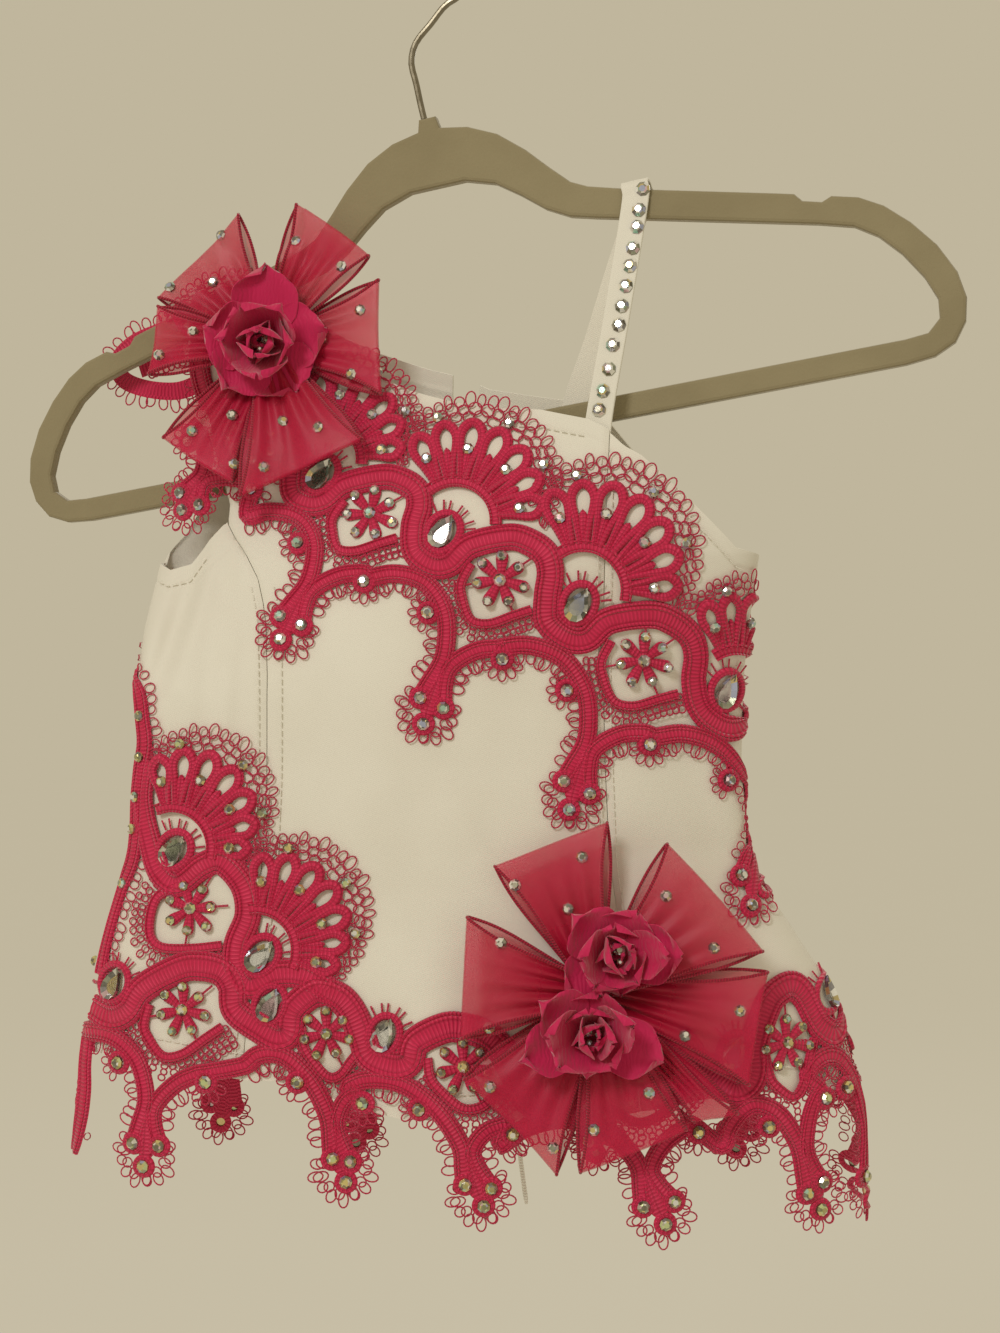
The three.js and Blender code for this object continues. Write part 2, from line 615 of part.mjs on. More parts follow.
// ---- ribbon bows with chiffon blooms ----
// A loop's outer corners a and b in x and z, a first, going clockwise seen from the front;
// level 0 loops lie under level 1 loops.
const BOWS = [
  {
    name: "upper_bow",
    centre: [-49.5, -146.5],
    slope: 0.3,
    bloomLift: 9.2,
    loops: [
      { a: [-90, -129], b: [-61, -97.5], level: 0 },
      { a: [-38.5, -96], b: [-11.5, -116.5], level: 1 },
      { a: [-8, -125], b: [-6.5, -167.5], level: 0 },
      { a: [-13, -184.5], b: [-56.5, -204.5], level: 1 },
      { a: [-60, -199], b: [-85.5, -182.5], level: 0 },
      { a: [-91.5, -159], b: [-89.5, -133], level: 1 },
    ],
    blooms: [{ at: [-50, -148.5], radii: [17.5, 21] }],
  },
  {
    name: "lower_bow",
    centre: [69, -376.5],
    slope: 0.12,
    bloomLift: 10,
    loops: [
      { a: [34, -334], b: [73, -319], level: 0 },
      { a: [93.5, -326], b: [126, -362.5], level: 1 },
      { a: [128, -370], b: [121, -408], level: 0 },
      { a: [117, -417.5], b: [102, -420], level: 0, start: 15 },
      { a: [99, -422], b: [63, -436], level: 1 },
      { a: [55, -437.5], b: [23.5, -405.5], level: 0 },
      { a: [22.5, -391.5], b: [24.5, -351], level: 1 },
    ],
    blooms: [
      { at: [75, -362.5], radii: [20, 12.4] },
      { at: [66.5, -389], radii: [22, 12.4] },
    ],
  },
];
const BOW_LIFT = LACE_LIFT + LACE_WALL + GAP + 0.2;
const LAYER_PITCH = 1.4;
const PINCH_RADIUS = 3.6;
const PINCH_WIDTH = 5;
const RIBBON_RISE = 0.06;
const RIBBON_FULLNESS = 1;
const LOOP_REACH = 56;

function bowBase(bow, x, z) {
  const surfaceY = (px, pz) => {
    const angle = angleAt(px, pz, false);
    return rollOverShoulder(bodyPoint(angle, pz, BOW_LIFT), angle, BOW_LIFT).y;
  };
  const plane = surfaceY(...bow.centre) + bow.slope * (z - bow.centre[1]);
  const clearOfHanger = middlePlane(x, z) - SHOULDER_ROLL;
  return Math.min(plane, surfaceY(x, z), clearOfHanger);
}

function buildLoop(bow, loop, name) {
  const centre = new THREE.Vector2(...bow.centre);
  const a = new THREE.Vector2(...loop.a);
  const b = new THREE.Vector2(...loop.b);
  const middle = a.clone().add(b).multiplyScalar(0.5);
  const reach = middle.distanceTo(centre);
  const along = middle.clone().sub(centre).normalize();
  const across = new THREE.Vector2(along.y, -along.x);
  const STEPS = 4;
  const start = loop.start ?? PINCH_RADIUS;
  const fullness = (radius) => RIBBON_FULLNESS * Math.sin(Math.PI * Math.min(1, radius / LOOP_REACH));
  const path = [];
  for (let k = 0; k <= STEPS; k += 1) {
    const radius = THREE.MathUtils.lerp(start, reach - RIBBON_WALL, k / STEPS);
    path.push([radius, loop.level * (2 * LAYER_PITCH + fullness(radius) + 0.2) + 0.6]);
  }
  const end = path[STEPS][1] + LAYER_PITCH / 2 + fullness(reach) / 2;
  path.push([reach, end]);
  for (let k = STEPS; k >= 0; k -= 1) {
    const [radius, height] = path[k];
    path.push([radius, height + LAYER_PITCH + fullness(radius)]);
  }
  const geometry = wallGeometry(2, path.length - 1, (i, j, side) => {
    const [radius0, height0] = path[Math.max(0, j - 1)];
    const [radius1, height1] = path[Math.min(path.length - 1, j + 1)];
    const length = Math.hypot(radius1 - radius0, height1 - height0);
    const shift = (side - 0.5) * RIBBON_WALL;
    const radius = path[j][0] - ((height1 - height0) / length) * shift;
    const height = path[j][1] + ((radius1 - radius0) / length) * shift;
    const t = (radius - start) / (reach - start);
    const v = i / 2;
    const inner = centre.clone().addScaledVector(along, start);
    inner.addScaledVector(across, (v - 0.5) * PINCH_WIDTH);
    const outer = a.clone().lerp(b, v);
    const spot = inner.lerp(outer, t);
    const rise = height + RIBBON_RISE * radius;
    return new THREE.Vector3(spot.x, bowBase(bow, spot.x, spot.y) - rise, spot.y);
  });
  add(name, geometry, material(ORGANZA_PINK, 0.5));
}

// A bloom is a low dome whose edge waves in and out with its petals.
function buildBloom(bow, bloom, name) {
  const PETALS = 6;
  const BLOOM_HEIGHT = 14;
  const profile = [
    [0, -2], [0.25, -1.7], [0.6, -0.4], [0.85, 1], [1, 5], [0.93, 9], [0.7, 12],
    [0.35, BLOOM_HEIGHT], [0, BLOOM_HEIGHT - 2],
  ];
  const points = profile.map(([radius, height]) => new THREE.Vector2(radius, height)).reverse();
  const geometry = new THREE.LatheGeometry(points, 18);
  const position = geometry.attributes.position;
  for (let k = 0; k < position.count; k += 1) {
    const turn = Math.atan2(position.getZ(k), position.getX(k));
    const wave = 1 - 0.08 * (1 - Math.cos(PETALS * turn)) / 2;
    const x = bloom.at[0] + position.getX(k) * bloom.radii[0] * wave;
    const z = bloom.at[1] + position.getZ(k) * bloom.radii[1] * wave;
    position.setXYZ(k, x, bowBase(bow, x, z) - bow.bloomLift - position.getY(k), z);
  }
  geometry.deleteAttribute("normal");
  geometry.deleteAttribute("uv");
  add(name, geometry, material(CHIFFON_PINK, 0.85));
}

function buildBows() {
  for (const bow of BOWS) {
    bow.loops.forEach((loop, k) => buildLoop(bow, loop, `${bow.name}_loop_${k + 1}`));
    bow.blooms.forEach((bloom, k) => buildBloom(bow, bloom, `${bow.name}_bloom_${k + 1}`));
  }
}

// ---- lacing of the back opening, with two free ends ----
const LACING_TOP = -172;
const LACING_STEP = 28;
const LACING_CROSSINGS = 8;
const LACING_HALF_WIDTH = 10;
const LACING_OUT = LACING_CORD / 2 + GAP + 0.7;
const LACING_END_OUT = LACE_LIFT + LACE_WALL + LACING_CORD / 2 + GAP + 0.2;

function backPoint(x, z, out) {
  return bodyPoint(angleAt(x, z, true), z, out);
}

function lacingRun(firstSide) {
  const points = [backPoint(BACK_OPENING_X + firstSide * 1.2, LACING_TOP, LACING_OUT)];
  for (let k = 0; k <= LACING_CROSSINGS; k += 1) {
    const side = k % 2 === 0 ? firstSide : -firstSide;
    const z = LACING_TOP - 2 - k * LACING_STEP;
    const edge = BACK_OPENING_X + side * LACING_HALF_WIDTH;
    points.push(backPoint(edge, z, LACING_OUT));
    const over = firstSide > 0 ? LACING_CORD + GAP + 0.3 : 0;
    if (k < LACING_CROSSINGS) {
      points.push(backPoint(BACK_OPENING_X, z - LACING_STEP / 2, LACING_OUT + over));
    }
  }
  return points;
}

// Free ends: x and z of their route from the last loop down past the hem.
const FREE_ENDS = [
  {
    name: "cord_end_left",
    route: [[13.65, -398.5], [12, -402], [10, -408], [6, -416], [0, -425], [-7, -433], [-18, -446]],
  },
  {
    name: "cord_end_right",
    route: [[34.35, -398.5], [35.5, -402], [37, -410], [39.5, -425], [42, -441], [44, -457], [46, -472]],
  },
];

function buildLacing() {
  const finish = material(CORD_WHITE, 0.7);
  tube("lacing_left", lacingRun(-1), LACING_CORD, 40, 6, finish);
  tube("lacing_right", lacingRun(1), LACING_CORD, 40, 6, finish);
  for (const end of FREE_ENDS) {
    const points = end.route.map(([x, z], k) => backPoint(x, z, k === 0 ? LACING_OUT : LACING_END_OUT));
    tube(end.name, points, LACING_CORD, 16, 8, finish);
  }
}

buildHanger();
buildHook();
buildPanels();
buildLaces();
buildStrap();
buildBows();
buildLacing();

export default group;
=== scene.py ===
"""One-shoulder pageant top with corded lace, crystals and ribbon bows, on a flocked hanger.

Sizes are in millimetres until a mesh is made; Blender's own objects are in metres.
"""

import math
import random

import bmesh
import bpy
import numpy as np
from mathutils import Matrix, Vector
from mathutils.bvhtree import BVHTree


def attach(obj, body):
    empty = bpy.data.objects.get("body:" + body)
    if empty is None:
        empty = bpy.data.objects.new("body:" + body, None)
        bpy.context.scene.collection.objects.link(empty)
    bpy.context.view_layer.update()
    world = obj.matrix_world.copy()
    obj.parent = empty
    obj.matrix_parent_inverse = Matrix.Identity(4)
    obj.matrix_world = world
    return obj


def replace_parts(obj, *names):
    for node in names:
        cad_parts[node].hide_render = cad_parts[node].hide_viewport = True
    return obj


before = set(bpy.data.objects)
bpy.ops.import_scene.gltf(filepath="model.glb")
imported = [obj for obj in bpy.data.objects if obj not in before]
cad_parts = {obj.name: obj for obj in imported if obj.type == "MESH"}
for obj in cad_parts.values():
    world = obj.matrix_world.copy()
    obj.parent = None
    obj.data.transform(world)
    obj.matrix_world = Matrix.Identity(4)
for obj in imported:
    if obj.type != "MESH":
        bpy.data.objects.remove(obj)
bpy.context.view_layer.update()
MM = 0.001

# ---- camera ----
CAMERA = (35.85, -737.4, -264.9)
FOCAL_PIXELS = 2007.5
FRAME_WIDTH = 1000
FRAME_HEIGHT = 1333
SENSOR = 36


def build_camera():
    data = bpy.data.cameras.new("camera")
    data.sensor_width = SENSOR
    data.lens = FOCAL_PIXELS / FRAME_HEIGHT * SENSOR
    camera = bpy.data.objects.new("camera", data)
    bpy.context.collection.objects.link(camera)
    camera.location = Vector(CAMERA) * MM
    camera.rotation_euler = (math.radians(90), 0, 0)
    bpy.context.scene.camera = camera


# ---- directions ----
FULL_TURN = 2 * math.pi
TINY = 1e-9


def unit(ways):
    """The same directions, each with a length of one."""
    return ways / (np.linalg.norm(ways, axis=-1, keepdims=True) + TINY)


def heading(angle):
    return np.array((math.cos(angle), math.sin(angle)))


def right_of(way):
    return np.array((way[1], -way[0]))


# ---- hanger's frame of reference ----
HANGER_TILT = math.radians(8.8)
HANGER_TURN = math.radians(15.3)
HOOK_REST_HEIGHT = 183.4
SHOULDER_ROLL = 5.25
ACROSS = np.array((
    math.cos(HANGER_TILT) * math.cos(HANGER_TURN),
    -math.cos(HANGER_TILT) * math.sin(HANGER_TURN),
    math.sin(HANGER_TILT),
))
UP = np.array((
    -math.sin(HANGER_TILT) * math.cos(HANGER_TURN),
    math.sin(HANGER_TILT) * math.sin(HANGER_TURN),
    math.cos(HANGER_TILT),
))
OUT = np.cross(ACROSS, UP)
FOOT = -HOOK_REST_HEIGHT * UP


def hanger_point(across, up, out):
    return FOOT + across * ACROSS + up * UP + out * OUT


# ---- the body surface that every cloth piece follows ----
# Level, left edge, right edge, depth of the front and of the back from the middle plane.
SECTIONS = np.array([
    [-480, -119, 169, 40, 40],
    [-422, -117, 167, 38, 38],
    [-404, -115.2, 163, 37, 37],
    [-388, -112.7, 158, 35, 35],
    [-373, -109.6, 151, 33, 33],
    [-357, -105.2, 141, 30, 30],
    [-343, -101, 131, 28, 28],
    [-330, -98.6, 125.8, 27, 26],
    [-300, -97.2, 123.8, 26, 24],
    [-250, -95, 125.5, 27, 25],
    [-226, -92.5, 127.5, 27, 25],
    [-190, -100, 127, 20, 19],
    [-160, -110, 127, 13, 13],
    [-130, -108, 127, 6.5, 6.5],
    [-118, -98, 127, 4.6, 4.6],
])
SECTION_POWER = 2.6
LEFT, RIGHT, FRONT, BACK = 1, 2, 3, 4

# Soft folds: start x and z, end x and z, half width, depth (a trough is negative).
FRONT_FOLDS = [
    (-75, -224, -87, -272, 6.5, -7),
    (-69, -219, -81, -272, 5, 3.5),
    (-65, -228, -60, -246, 5, -2),
    (-88, -320, -70, -345, 9, -2),
    (104, -300, 118, -345, 9, -3),
    (90, -330, 60, -345, 10, -2),
    (-20, -400, -16, -440, 10, -4),
    (16, -396, 20, -440, 11, 3),
    (130, -380, 138, -440, 10, 4),
    (104, -392, 108, -440, 9, -3),
    (-77, -234, -92, -286, 4.5, -3.0),
    (-66, -238, -71, -312, 4, -1.4),
    (-86, -240, -99, -290, 4, 1.6),
    (-54, -236, -58, -320, 3.5, -1),
    (98, -238, 116, -300, 5.5, -1.5),
    (20, -300, 44, -338, 7, -1.2),
]
BACK_FOLDS = [
    (-70, -222, -84, -268, 7, -5),
    (100, -226, 112, -262, 7, -4),
    (-56, -330, -20, -338, 9, -2),
    (70, -334, 104, -326, 9, -3),
    (-60, -390, -64, -440, 11, -4),
    (90, -390, 96, -440, 11, -2),
]
LEAN_FROM = -280
LEAN_TO = -205


def section(z, column):
    return np.interp(z, SECTIONS[:, 0], SECTIONS[:, column])


def smooth_step(low, high, value):
    t = np.clip((value - low) / (high - low), 0, 1)
    return t * t * (3 - 2 * t)


def fold_depth(folds, x, z):
    total = np.zeros(np.broadcast(x, z).shape)
    for x0, z0, x1, z1, reach, depth in folds:
        length2 = (x1 - x0) ** 2 + (z1 - z0) ** 2
        held = np.clip(((x - x0) * (x1 - x0) + (z - z0) * (z1 - z0)) / length2, 0, 1)
        away = np.hypot(x - x0 - held * (x1 - x0), z - z0 - held * (z1 - z0))
        total += depth * np.exp(-((away / reach) ** 2)) * (0.45 + 0.55 * np.sin(np.pi * held))
    return total


def middle_plane(x, z):
    follows = smooth_step(LEAN_FROM, LEAN_TO, z)
    return FOOT[1] + follows * (FOOT[0] - x) * math.tan(HANGER_TURN)


def middle_and_half(z):
    """Middle of the body between its side edges, and half its width, at a level."""
    left, right = section(z, LEFT), section(z, RIGHT)
    return (left + right) / 2, (right - left) / 2


def angle_at(x, z, on_back=False):
    """Where x lies round the body. Past a side edge it carries on round to the other face."""
    centre, half = middle_and_half(z)
    share = (x - centre) / half
    turned = np.abs(share) > 1
    share = np.where(turned, np.sign(share) * (2 - np.abs(share)), share)
    share = np.clip(share, -1, 1)
    angle = np.arccos(-np.sign(share) * np.abs(share) ** (SECTION_POWER / 2))
    return np.where(turned ^ on_back, FULL_TURN - angle, angle)


def surface(angle, z):
    centre, half = middle_and_half(z)
    cosine, sine = np.cos(angle), np.sin(angle)
    squash = 2 / SECTION_POWER
    x = centre - half * np.sign(cosine) * np.abs(cosine) ** squash
    share = np.abs(sine) ** squash
    front = sine >= 0
    depth = np.where(front, section(z, FRONT), section(z, BACK)) * share
    fold = np.where(front, fold_depth(FRONT_FOLDS, x, z), fold_depth(BACK_FOLDS, x, z)) * share
    y = middle_plane(x, z) + np.where(front, -1, 1) * (depth + fold)
    return np.stack([x, y, z + 0 * x], axis=-1)


def body_point(angle, z, out):
    angle, z, out = np.broadcast_arrays(np.asarray(angle, float), z, out)
    point = surface(angle, z)
    around = surface(angle + 0.01, z) - surface(angle - 0.01, z)
    upwards = surface(angle, z + 1.0) - surface(angle, z - 1.0)
    return point + unit(np.cross(around, upwards)) * out[..., None]


ARM_BEND, ARM_TOP, ARM_SLOPE = -55, 80.5, 0.2585
ARM_ROUND = 2.75
SHOULDER_INNER_X = -50.5
# How far past the shoulder's inner end the roll reaches, and the drop over which it fades out.
ROLL_REACH = 14
ROLL_FADE = (8, 40)
THINNEST_ROLL = 0.2


def shoulder_line(x):
    across = (x - FOOT[0] - UP[0] * ARM_TOP) / ACROSS[0]
    arm_top = np.where(across < ARM_BEND, ARM_TOP + (across - ARM_BEND) * ARM_SLOPE, ARM_TOP)
    return FOOT[2] + across * ACROSS[2] + arm_top * UP[2] + SHOULDER_ROLL - ARM_ROUND


def roll_over_shoulder(point, angle, out):
    """Over the hanger's arm the cloth rolls from front to back on a round."""
    below = shoulder_line(point[..., 0]) - point[..., 2]
    held = np.clip(below / SHOULDER_ROLL, 0, 1)
    scale = (SHOULDER_ROLL + out) / SHOULDER_ROLL
    rounded = SHOULDER_ROLL * np.sqrt(np.maximum(0, 1 - (1 - held) ** 2)) * scale
    side = np.where(np.sin(angle) >= 0, -1, 1)
    plane = middle_plane(point[..., 0], point[..., 2])
    depth = np.abs(point[..., 1] - plane)
    near_top = 1 - smooth_step(*ROLL_FADE, below)
    y = plane + side * (depth + near_top * (np.maximum(THINNEST_ROLL, rounded) - depth))
    rolled = np.stack([point[..., 0], y, point[..., 2] + (1 - held) * out], axis=-1)
    crosses = (point[..., 0] <= SHOULDER_INNER_X + ROLL_REACH)[..., None]
    return np.where(crosses, rolled, point)


def on_cloth(x, z, out, on_back=False):
    x, z = np.asarray(x, float), np.asarray(z, float)
    angle = angle_at(x, z, on_back)
    out = np.broadcast_to(np.asarray(out, float), angle.shape)
    return roll_over_shoulder(body_point(angle, z, out), angle, out)


TYPICAL_FRONT = -30.0
SIGHT_ROUNDS = 6


def sighted(column, row):
    """x and z of the spot on the front that the camera sees at a column and row of the frame."""
    y = TYPICAL_FRONT
    for _ in range(SIGHT_ROUNDS):
        scale = (y - CAMERA[1]) / FOCAL_PIXELS
        x = CAMERA[0] + (column - FRAME_WIDTH / 2) * scale
        z = CAMERA[2] + (FRAME_HEIGHT / 2 - row) * scale
        y = float(on_cloth(x, z, 1.0)[..., 1])
    return np.array((x, z))


def sighted_hits(spots, pieces):
    """Where the camera's lines through columns and rows meet the pieces, and the way out."""
    points, faces = [], []
    for piece in pieces:
        first = len(points)
        points += [vertex.co.copy() for vertex in piece.data.vertices]
        faces += [tuple(first + k for k in face.vertices) for face in piece.data.polygons]
    tree = BVHTree.FromPolygons(points, faces)
    found = []
    for column, row in spots:
        across = (column - FRAME_WIDTH / 2) / FOCAL_PIXELS
        up = (FRAME_HEIGHT / 2 - row) / FOCAL_PIXELS
        line = Vector((across, 1, up)).normalized()
        hit, way, _, _ = tree.ray_cast(Vector(CAMERA) * MM, line)
        if hit is not None:
            found.append((hit / MM, way if way.dot(line) < 0 else -way))
    return found


# ---- shaders ----
class Socket:
    """A shader value that takes plain arithmetic."""

    def __init__(self, paint, output):
        self.paint = paint
        self.output = output

    def math(self, operation, *others):
        values = {0: self, **{k + 1: other for k, other in enumerate(others)}}
        return self.paint.node("ShaderNodeMath", {"operation": operation}, values)

    def flipped(self, operation, other):
        return self.paint.node("ShaderNodeMath", {"operation": operation}, {0: other, 1: self})

    def __add__(self, other):
        return self.math("ADD", other)

    def __sub__(self, other):
        return self.math("SUBTRACT", other)

    def __mul__(self, other):
        return self.math("MULTIPLY", other)

    def __truediv__(self, other):
        return self.math("DIVIDE", other)

    def __rsub__(self, other):
        return self.flipped("SUBTRACT", other)

    def __rtruediv__(self, other):
        return self.flipped("DIVIDE", other)

    __radd__ = __add__
    __rmul__ = __mul__


class Paint:
    """One material: a Principled shader whose fixed values are set by name."""

    def __init__(self, name, **fixed):
        self.material = bpy.data.materials.new(name)
        self.material.use_nodes = True
        self.tree = self.material.node_tree
        self.shader = self.tree.nodes["Principled BSDF"]
        for key, value in fixed.items():
            label = "Specular IOR Level" if key == "specular" else key.replace("_", " ").title()
            self.shader.inputs[label].default_value = value

    def node(self, kind, settings, inputs, output=0):
        made = self.tree.nodes.new(kind)
        for key, value in settings.items():
            setattr(made, key, value)
        for key, value in inputs.items():
            self.feed(made.inputs[key], value)
        return Socket(self, made.outputs[output])

    def feed(self, socket, value):
        if isinstance(value, Socket):
            self.tree.links.new(value.output, socket)
        else:
            socket.default_value = value

    def place(self):
        return self.node("ShaderNodeTexCoord", {}, {}, "Object")

    def uv(self, axis):
        spot = self.node("ShaderNodeTexCoord", {}, {}, "UV")
        return self.node("ShaderNodeSeparateXYZ", {}, {0: spot}, axis)

    def axis(self, axis):
        return self.node("ShaderNodeSeparateXYZ", {}, {0: self.place()}, axis)

    def noise(self, scale, detail=2.0):
        inputs = {"Vector": self.place(), "Scale": scale, "Detail": detail}
        return self.node("ShaderNodeTexNoise", {}, inputs, "Fac")

    def mix(self, factor, first, second):
        settings = {"data_type": "RGBA"}
        return self.node("ShaderNodeMix", settings, {0: factor, 6: first, 7: second}, 2)

    def colour(self, value):
        self.feed(self.shader.inputs["Base Color"], value)

    def rough(self, value):
        self.feed(self.shader.inputs["Roughness"], value)

    def bump(self, height, distance, strength):
        inputs = {"Height": height, "Distance": distance, "Strength": strength}
        self.feed(self.shader.inputs["Normal"], self.node("ShaderNodeBump", {}, inputs, "Normal"))

    def twist(self, pitch):
        """The lay of a twisted cord, from -1 to 1; pitch is in millimetres."""
        return (self.uv("Y") * (FULL_TURN / pitch) + self.uv("X") * FULL_TURN).math("SINE")

    def finish(self, shade, low, high, rough, relief, distance, strength):
        """Shades between two screen colours, with a roughness and a bump."""
        self.colour(self.mix(shade, rgb(*low), rgb(*high)))
        self.rough(rough)
        self.bump(relief, distance, strength)
        return self.material


def rgb(red, green, blue):
    """A colour given in screen values, as the shaders take it."""
    def linear(value):
        share = value / 255
        return share / 12.92 if share <= 0.04045 else ((share + 0.055) / 1.055) ** 2.4
    return (linear(red), linear(green), linear(blue), 1.0)


# Metres from one row of the knit, or thread of the organza, to the next.
WEAVE_PITCH = 0.0009
# Millimetres from one satin stitch of the lace to the next.
SATIN_PITCH = 1.35


def knit_paint():
    paint = Paint("white_knit", sheen_weight=0.25, sheen_roughness=0.5)
    stitch = FULL_TURN / WEAVE_PITCH
    wale = (paint.axis("X") * stitch).math("SINE")
    course = (paint.axis("Z") * (stitch * 1.3) + paint.axis("X") * (stitch * 0.5)).math("SINE")
    grain = wale * course
    return paint.finish(
        paint.noise(28.0, 3.0), (221, 216, 203), (233, 229, 218),
        grain * 0.05 + 0.72, grain, 0.00006, 0.5,
    )


def lace_paint():
    """Satin stitches across a band, with a groove inside each of its raised rims; the troughs
    between stitches and the grooves are darkened with painted shade.
    """
    paint = Paint("pink_lace", sheen_weight=0.3, sheen_roughness=0.4, specular=0.35)
    across = paint.uv("X")
    ribs = (paint.uv("Y") * (FULL_TURN / SATIN_PITCH) + across * 4.0).math("SINE")
    from_middle = (across - 0.4).math("ABSOLUTE")
    groove = 1 - ((from_middle - 0.1).math("ABSOLUTE") / 0.04).math("MINIMUM", 1.0)
    tone = paint.noise(160.0, 3.0)
    shade = paint.mix(tone, rgb(198, 24, 70), rgb(226, 46, 96))
    # Painted shade: the troughs between the satin stitches and the grooves inside the rims are
    # mixed towards a deep red.
    painted_groove_shade = ((0.5 - ribs * 0.5).math("POWER", 1.6) * 0.42).math("MAXIMUM", groove * 0.6)
    paint.colour(paint.mix(painted_groove_shade, shade, rgb(140, 6, 40)))
    paint.rough(0.52 - ribs * 0.08)
    paint.bump(ribs * 0.6 - groove * 0.6, 0.00025, 1.0)
    return paint.material


def rolled_edge_paint():
    paint = Paint("rolled_edge_thread", sheen_weight=0.3, specular=0.3)
    twist = paint.twist(1.0)
    # Painted shade: the thread's colour darkens in the grooves of its twist and is lighter on the
    # crests.
    return paint.finish(
        twist * 0.5 + 0.5, (134, 4, 36), (182, 18, 58), twist * 0.1 + 0.55, twist, 0.0002, 0.7,
    )


def organza_paint():
    """Sheer: each ribbon has two faces and each loop two ribbons, so one face hides little.

    The ribbon's UV runs from 0 at the knot to 1 at the fold; gathered cloth is deeper in colour.
    """
    paint = Paint("pink_organza", sheen_weight=0.3, sheen_roughness=0.3, specular=0.4)
    thread = FULL_TURN / WEAVE_PITCH
    weave = (paint.axis("X") * thread).math("SINE") * (paint.axis("Z") * thread).math("SINE")
    cloud = paint.noise(70.0, 3.0)
    gathered = (1 - paint.uv("Y")).math("POWER", 1.6)
    sheer = paint.mix(cloud, rgb(204, 14, 62), rgb(224, 44, 92))
    paint.colour(paint.mix(gathered * 0.9, sheer, rgb(172, 0, 40)))
    paint.rough(weave * 0.1 + 0.45)
    paint.feed(paint.shader.inputs["Alpha"], cloud * 0.14 + gathered * 0.45 + 0.29)
    paint.bump(weave, 0.00004, 0.4)
    return paint.material


def chiffon_paint():
    paint = Paint("pink_chiffon", sheen_weight=0.4, sheen_roughness=0.5, specular=0.25)
    crinkle = paint.node("ShaderNodeTexWave", {}, {
        "Vector": paint.place(), "Scale": 210.0, "Distortion": 9.0, "Detail": 2.0,
    }, "Fac")
    return paint.finish(
        paint.noise(60.0), (186, 16, 74), (212, 34, 96), crinkle * 0.1 + 0.6, crinkle, 0.00015, 0.7,
    )


def crystal_paint():
    paint = Paint("crystal", metallic=0.7, coat_weight=1.0, coat_roughness=0.03)
    # Each facet's stored colour is the stone's own tint mixed with painted reflection, dark or
    # bright.
    tint_and_painted_reflection = paint.node("ShaderNodeAttribute", {"attribute_name": "stone_tint_and_painted_reflection"}, {}, "Color")
    # Painted sparkle: fine noise mixes the colour towards near-white glints.
    painted_sparkle = paint.noise(900.0, 1.0)
    paint.colour(paint.mix(painted_sparkle * 0.3, tint_and_painted_reflection, rgb(244, 240, 230)))
    paint.rough(painted_sparkle * 0.1 + 0.08)
    return paint.material


def velvet_paint():
    paint = Paint("hanger_velvet", sheen_weight=0.7, sheen_roughness=0.35, specular=0.1)
    nap = paint.noise(900.0, 4.0)
    return paint.finish(
        paint.noise(35.0, 3.0), (134, 123, 96), (156, 145, 116), nap * 0.1 + 0.88, nap, 0.0003, 0.6,
    )


def wire_paint():
    paint = Paint("hook_wire", metallic=1.0)
    drawn = paint.noise(420.0)
    return paint.finish(
        drawn, (120, 112, 96), (150, 142, 124), drawn * 0.14 + 0.16, drawn, 0.00002, 0.3,
    )


def cord_paint():
    paint = Paint("white_cord", sheen_weight=0.4, specular=0.4)
    twist = paint.twist(1.1)
    return paint.finish(
        paint.noise(200.0), (238, 234, 222), (250, 247, 240),
        twist * 0.1 + 0.6, twist, 0.00015, 0.7,
    )


# ---- meshes ----
# Edges that turn by more than this stay sharp.
SOFT_ANGLE = math.radians(50)
PANEL_SOFT_ANGLE = math.radians(60)


class Work:
    """Gathers closed strips of cloth, cord and thread into one mesh."""

    def __init__(self):
        self.points = []
        self.faces = []
        self.uvs = []
        self.count = 0

    def add(self, grid, closed, lengths):
        """grid[i, j]: row i along the strip, corner j round its section. lengths run along it."""
        rows, sides = grid.shape[:2]
        spans = rows if closed else rows - 1
        first = self.count
        self.points.append(grid.reshape(-1, 3))
        self.count += rows * sides
        for i in range(spans):
            low, high = first + i * sides, first + (i + 1) % rows * sides
            v0, v1 = lengths[i], lengths[i + 1]
            for j in range(sides):
                k = (j + 1) % sides
                self.faces.append((low + j, low + k, high + k, high + j))
                u0, u1 = j / sides, (j + 1) / sides
                self.uvs += [u0, v0, u1, v0, u1, v1, u0, v1]
        if not closed:
            for start, v in ((first, lengths[0]), (first + (rows - 1) * sides, lengths[-1])):
                self.faces.append(tuple(range(start, start + sides)))
                self.uvs += [0.5, v] * sides

    def tube(self, points, width, sides=8, taper=0.0):
        """Sweeps a round section along a path in space; taper narrows its last millimetre."""
        points = np.asarray(points, float)
        along = unit(np.gradient(points, axis=0))
        side = np.cross(along[0], (0.3, 0.9, 0.2))
        turn = FULL_TURN * np.arange(sides)[:, None] / sides
        lengths = run_lengths(points)
        rows = []
        for spot, way, run in zip(points, along, lengths):
            side = unit(side - way * side.dot(way))
            radius = width / 2 * (1 - taper * max(0.0, 1 - (lengths[-1] - run)))
            rows.append(spot + radius * (np.cos(turn) * side + np.sin(turn) * np.cross(way, side)))
        self.add(np.array(rows), False, lengths)

    def leaf(self, front, thick, lengths=None):
        """A thin closed sheet behind a grid of front points. lengths: one a row, for its UV."""
        normal = unit(np.cross(np.gradient(front, axis=1), np.gradient(front, axis=0)))
        behind = (front - normal * thick)[:, ::-1]
        if lengths is None:
            lengths = run_lengths(front[:, 0])
        self.add(np.concatenate([front, behind], axis=1), False, lengths)

    def build(self, name, paint, slot):
        mesh = bpy.data.meshes.new(name)
        points = np.concatenate(self.points) * MM
        mesh.from_pydata(points.tolist(), [], self.faces)
        mesh.uv_layers.new(name="cloth").data.foreach_set("uv", self.uvs)
        return finish_piece(name, mesh, paint, SOFT_ANGLE)


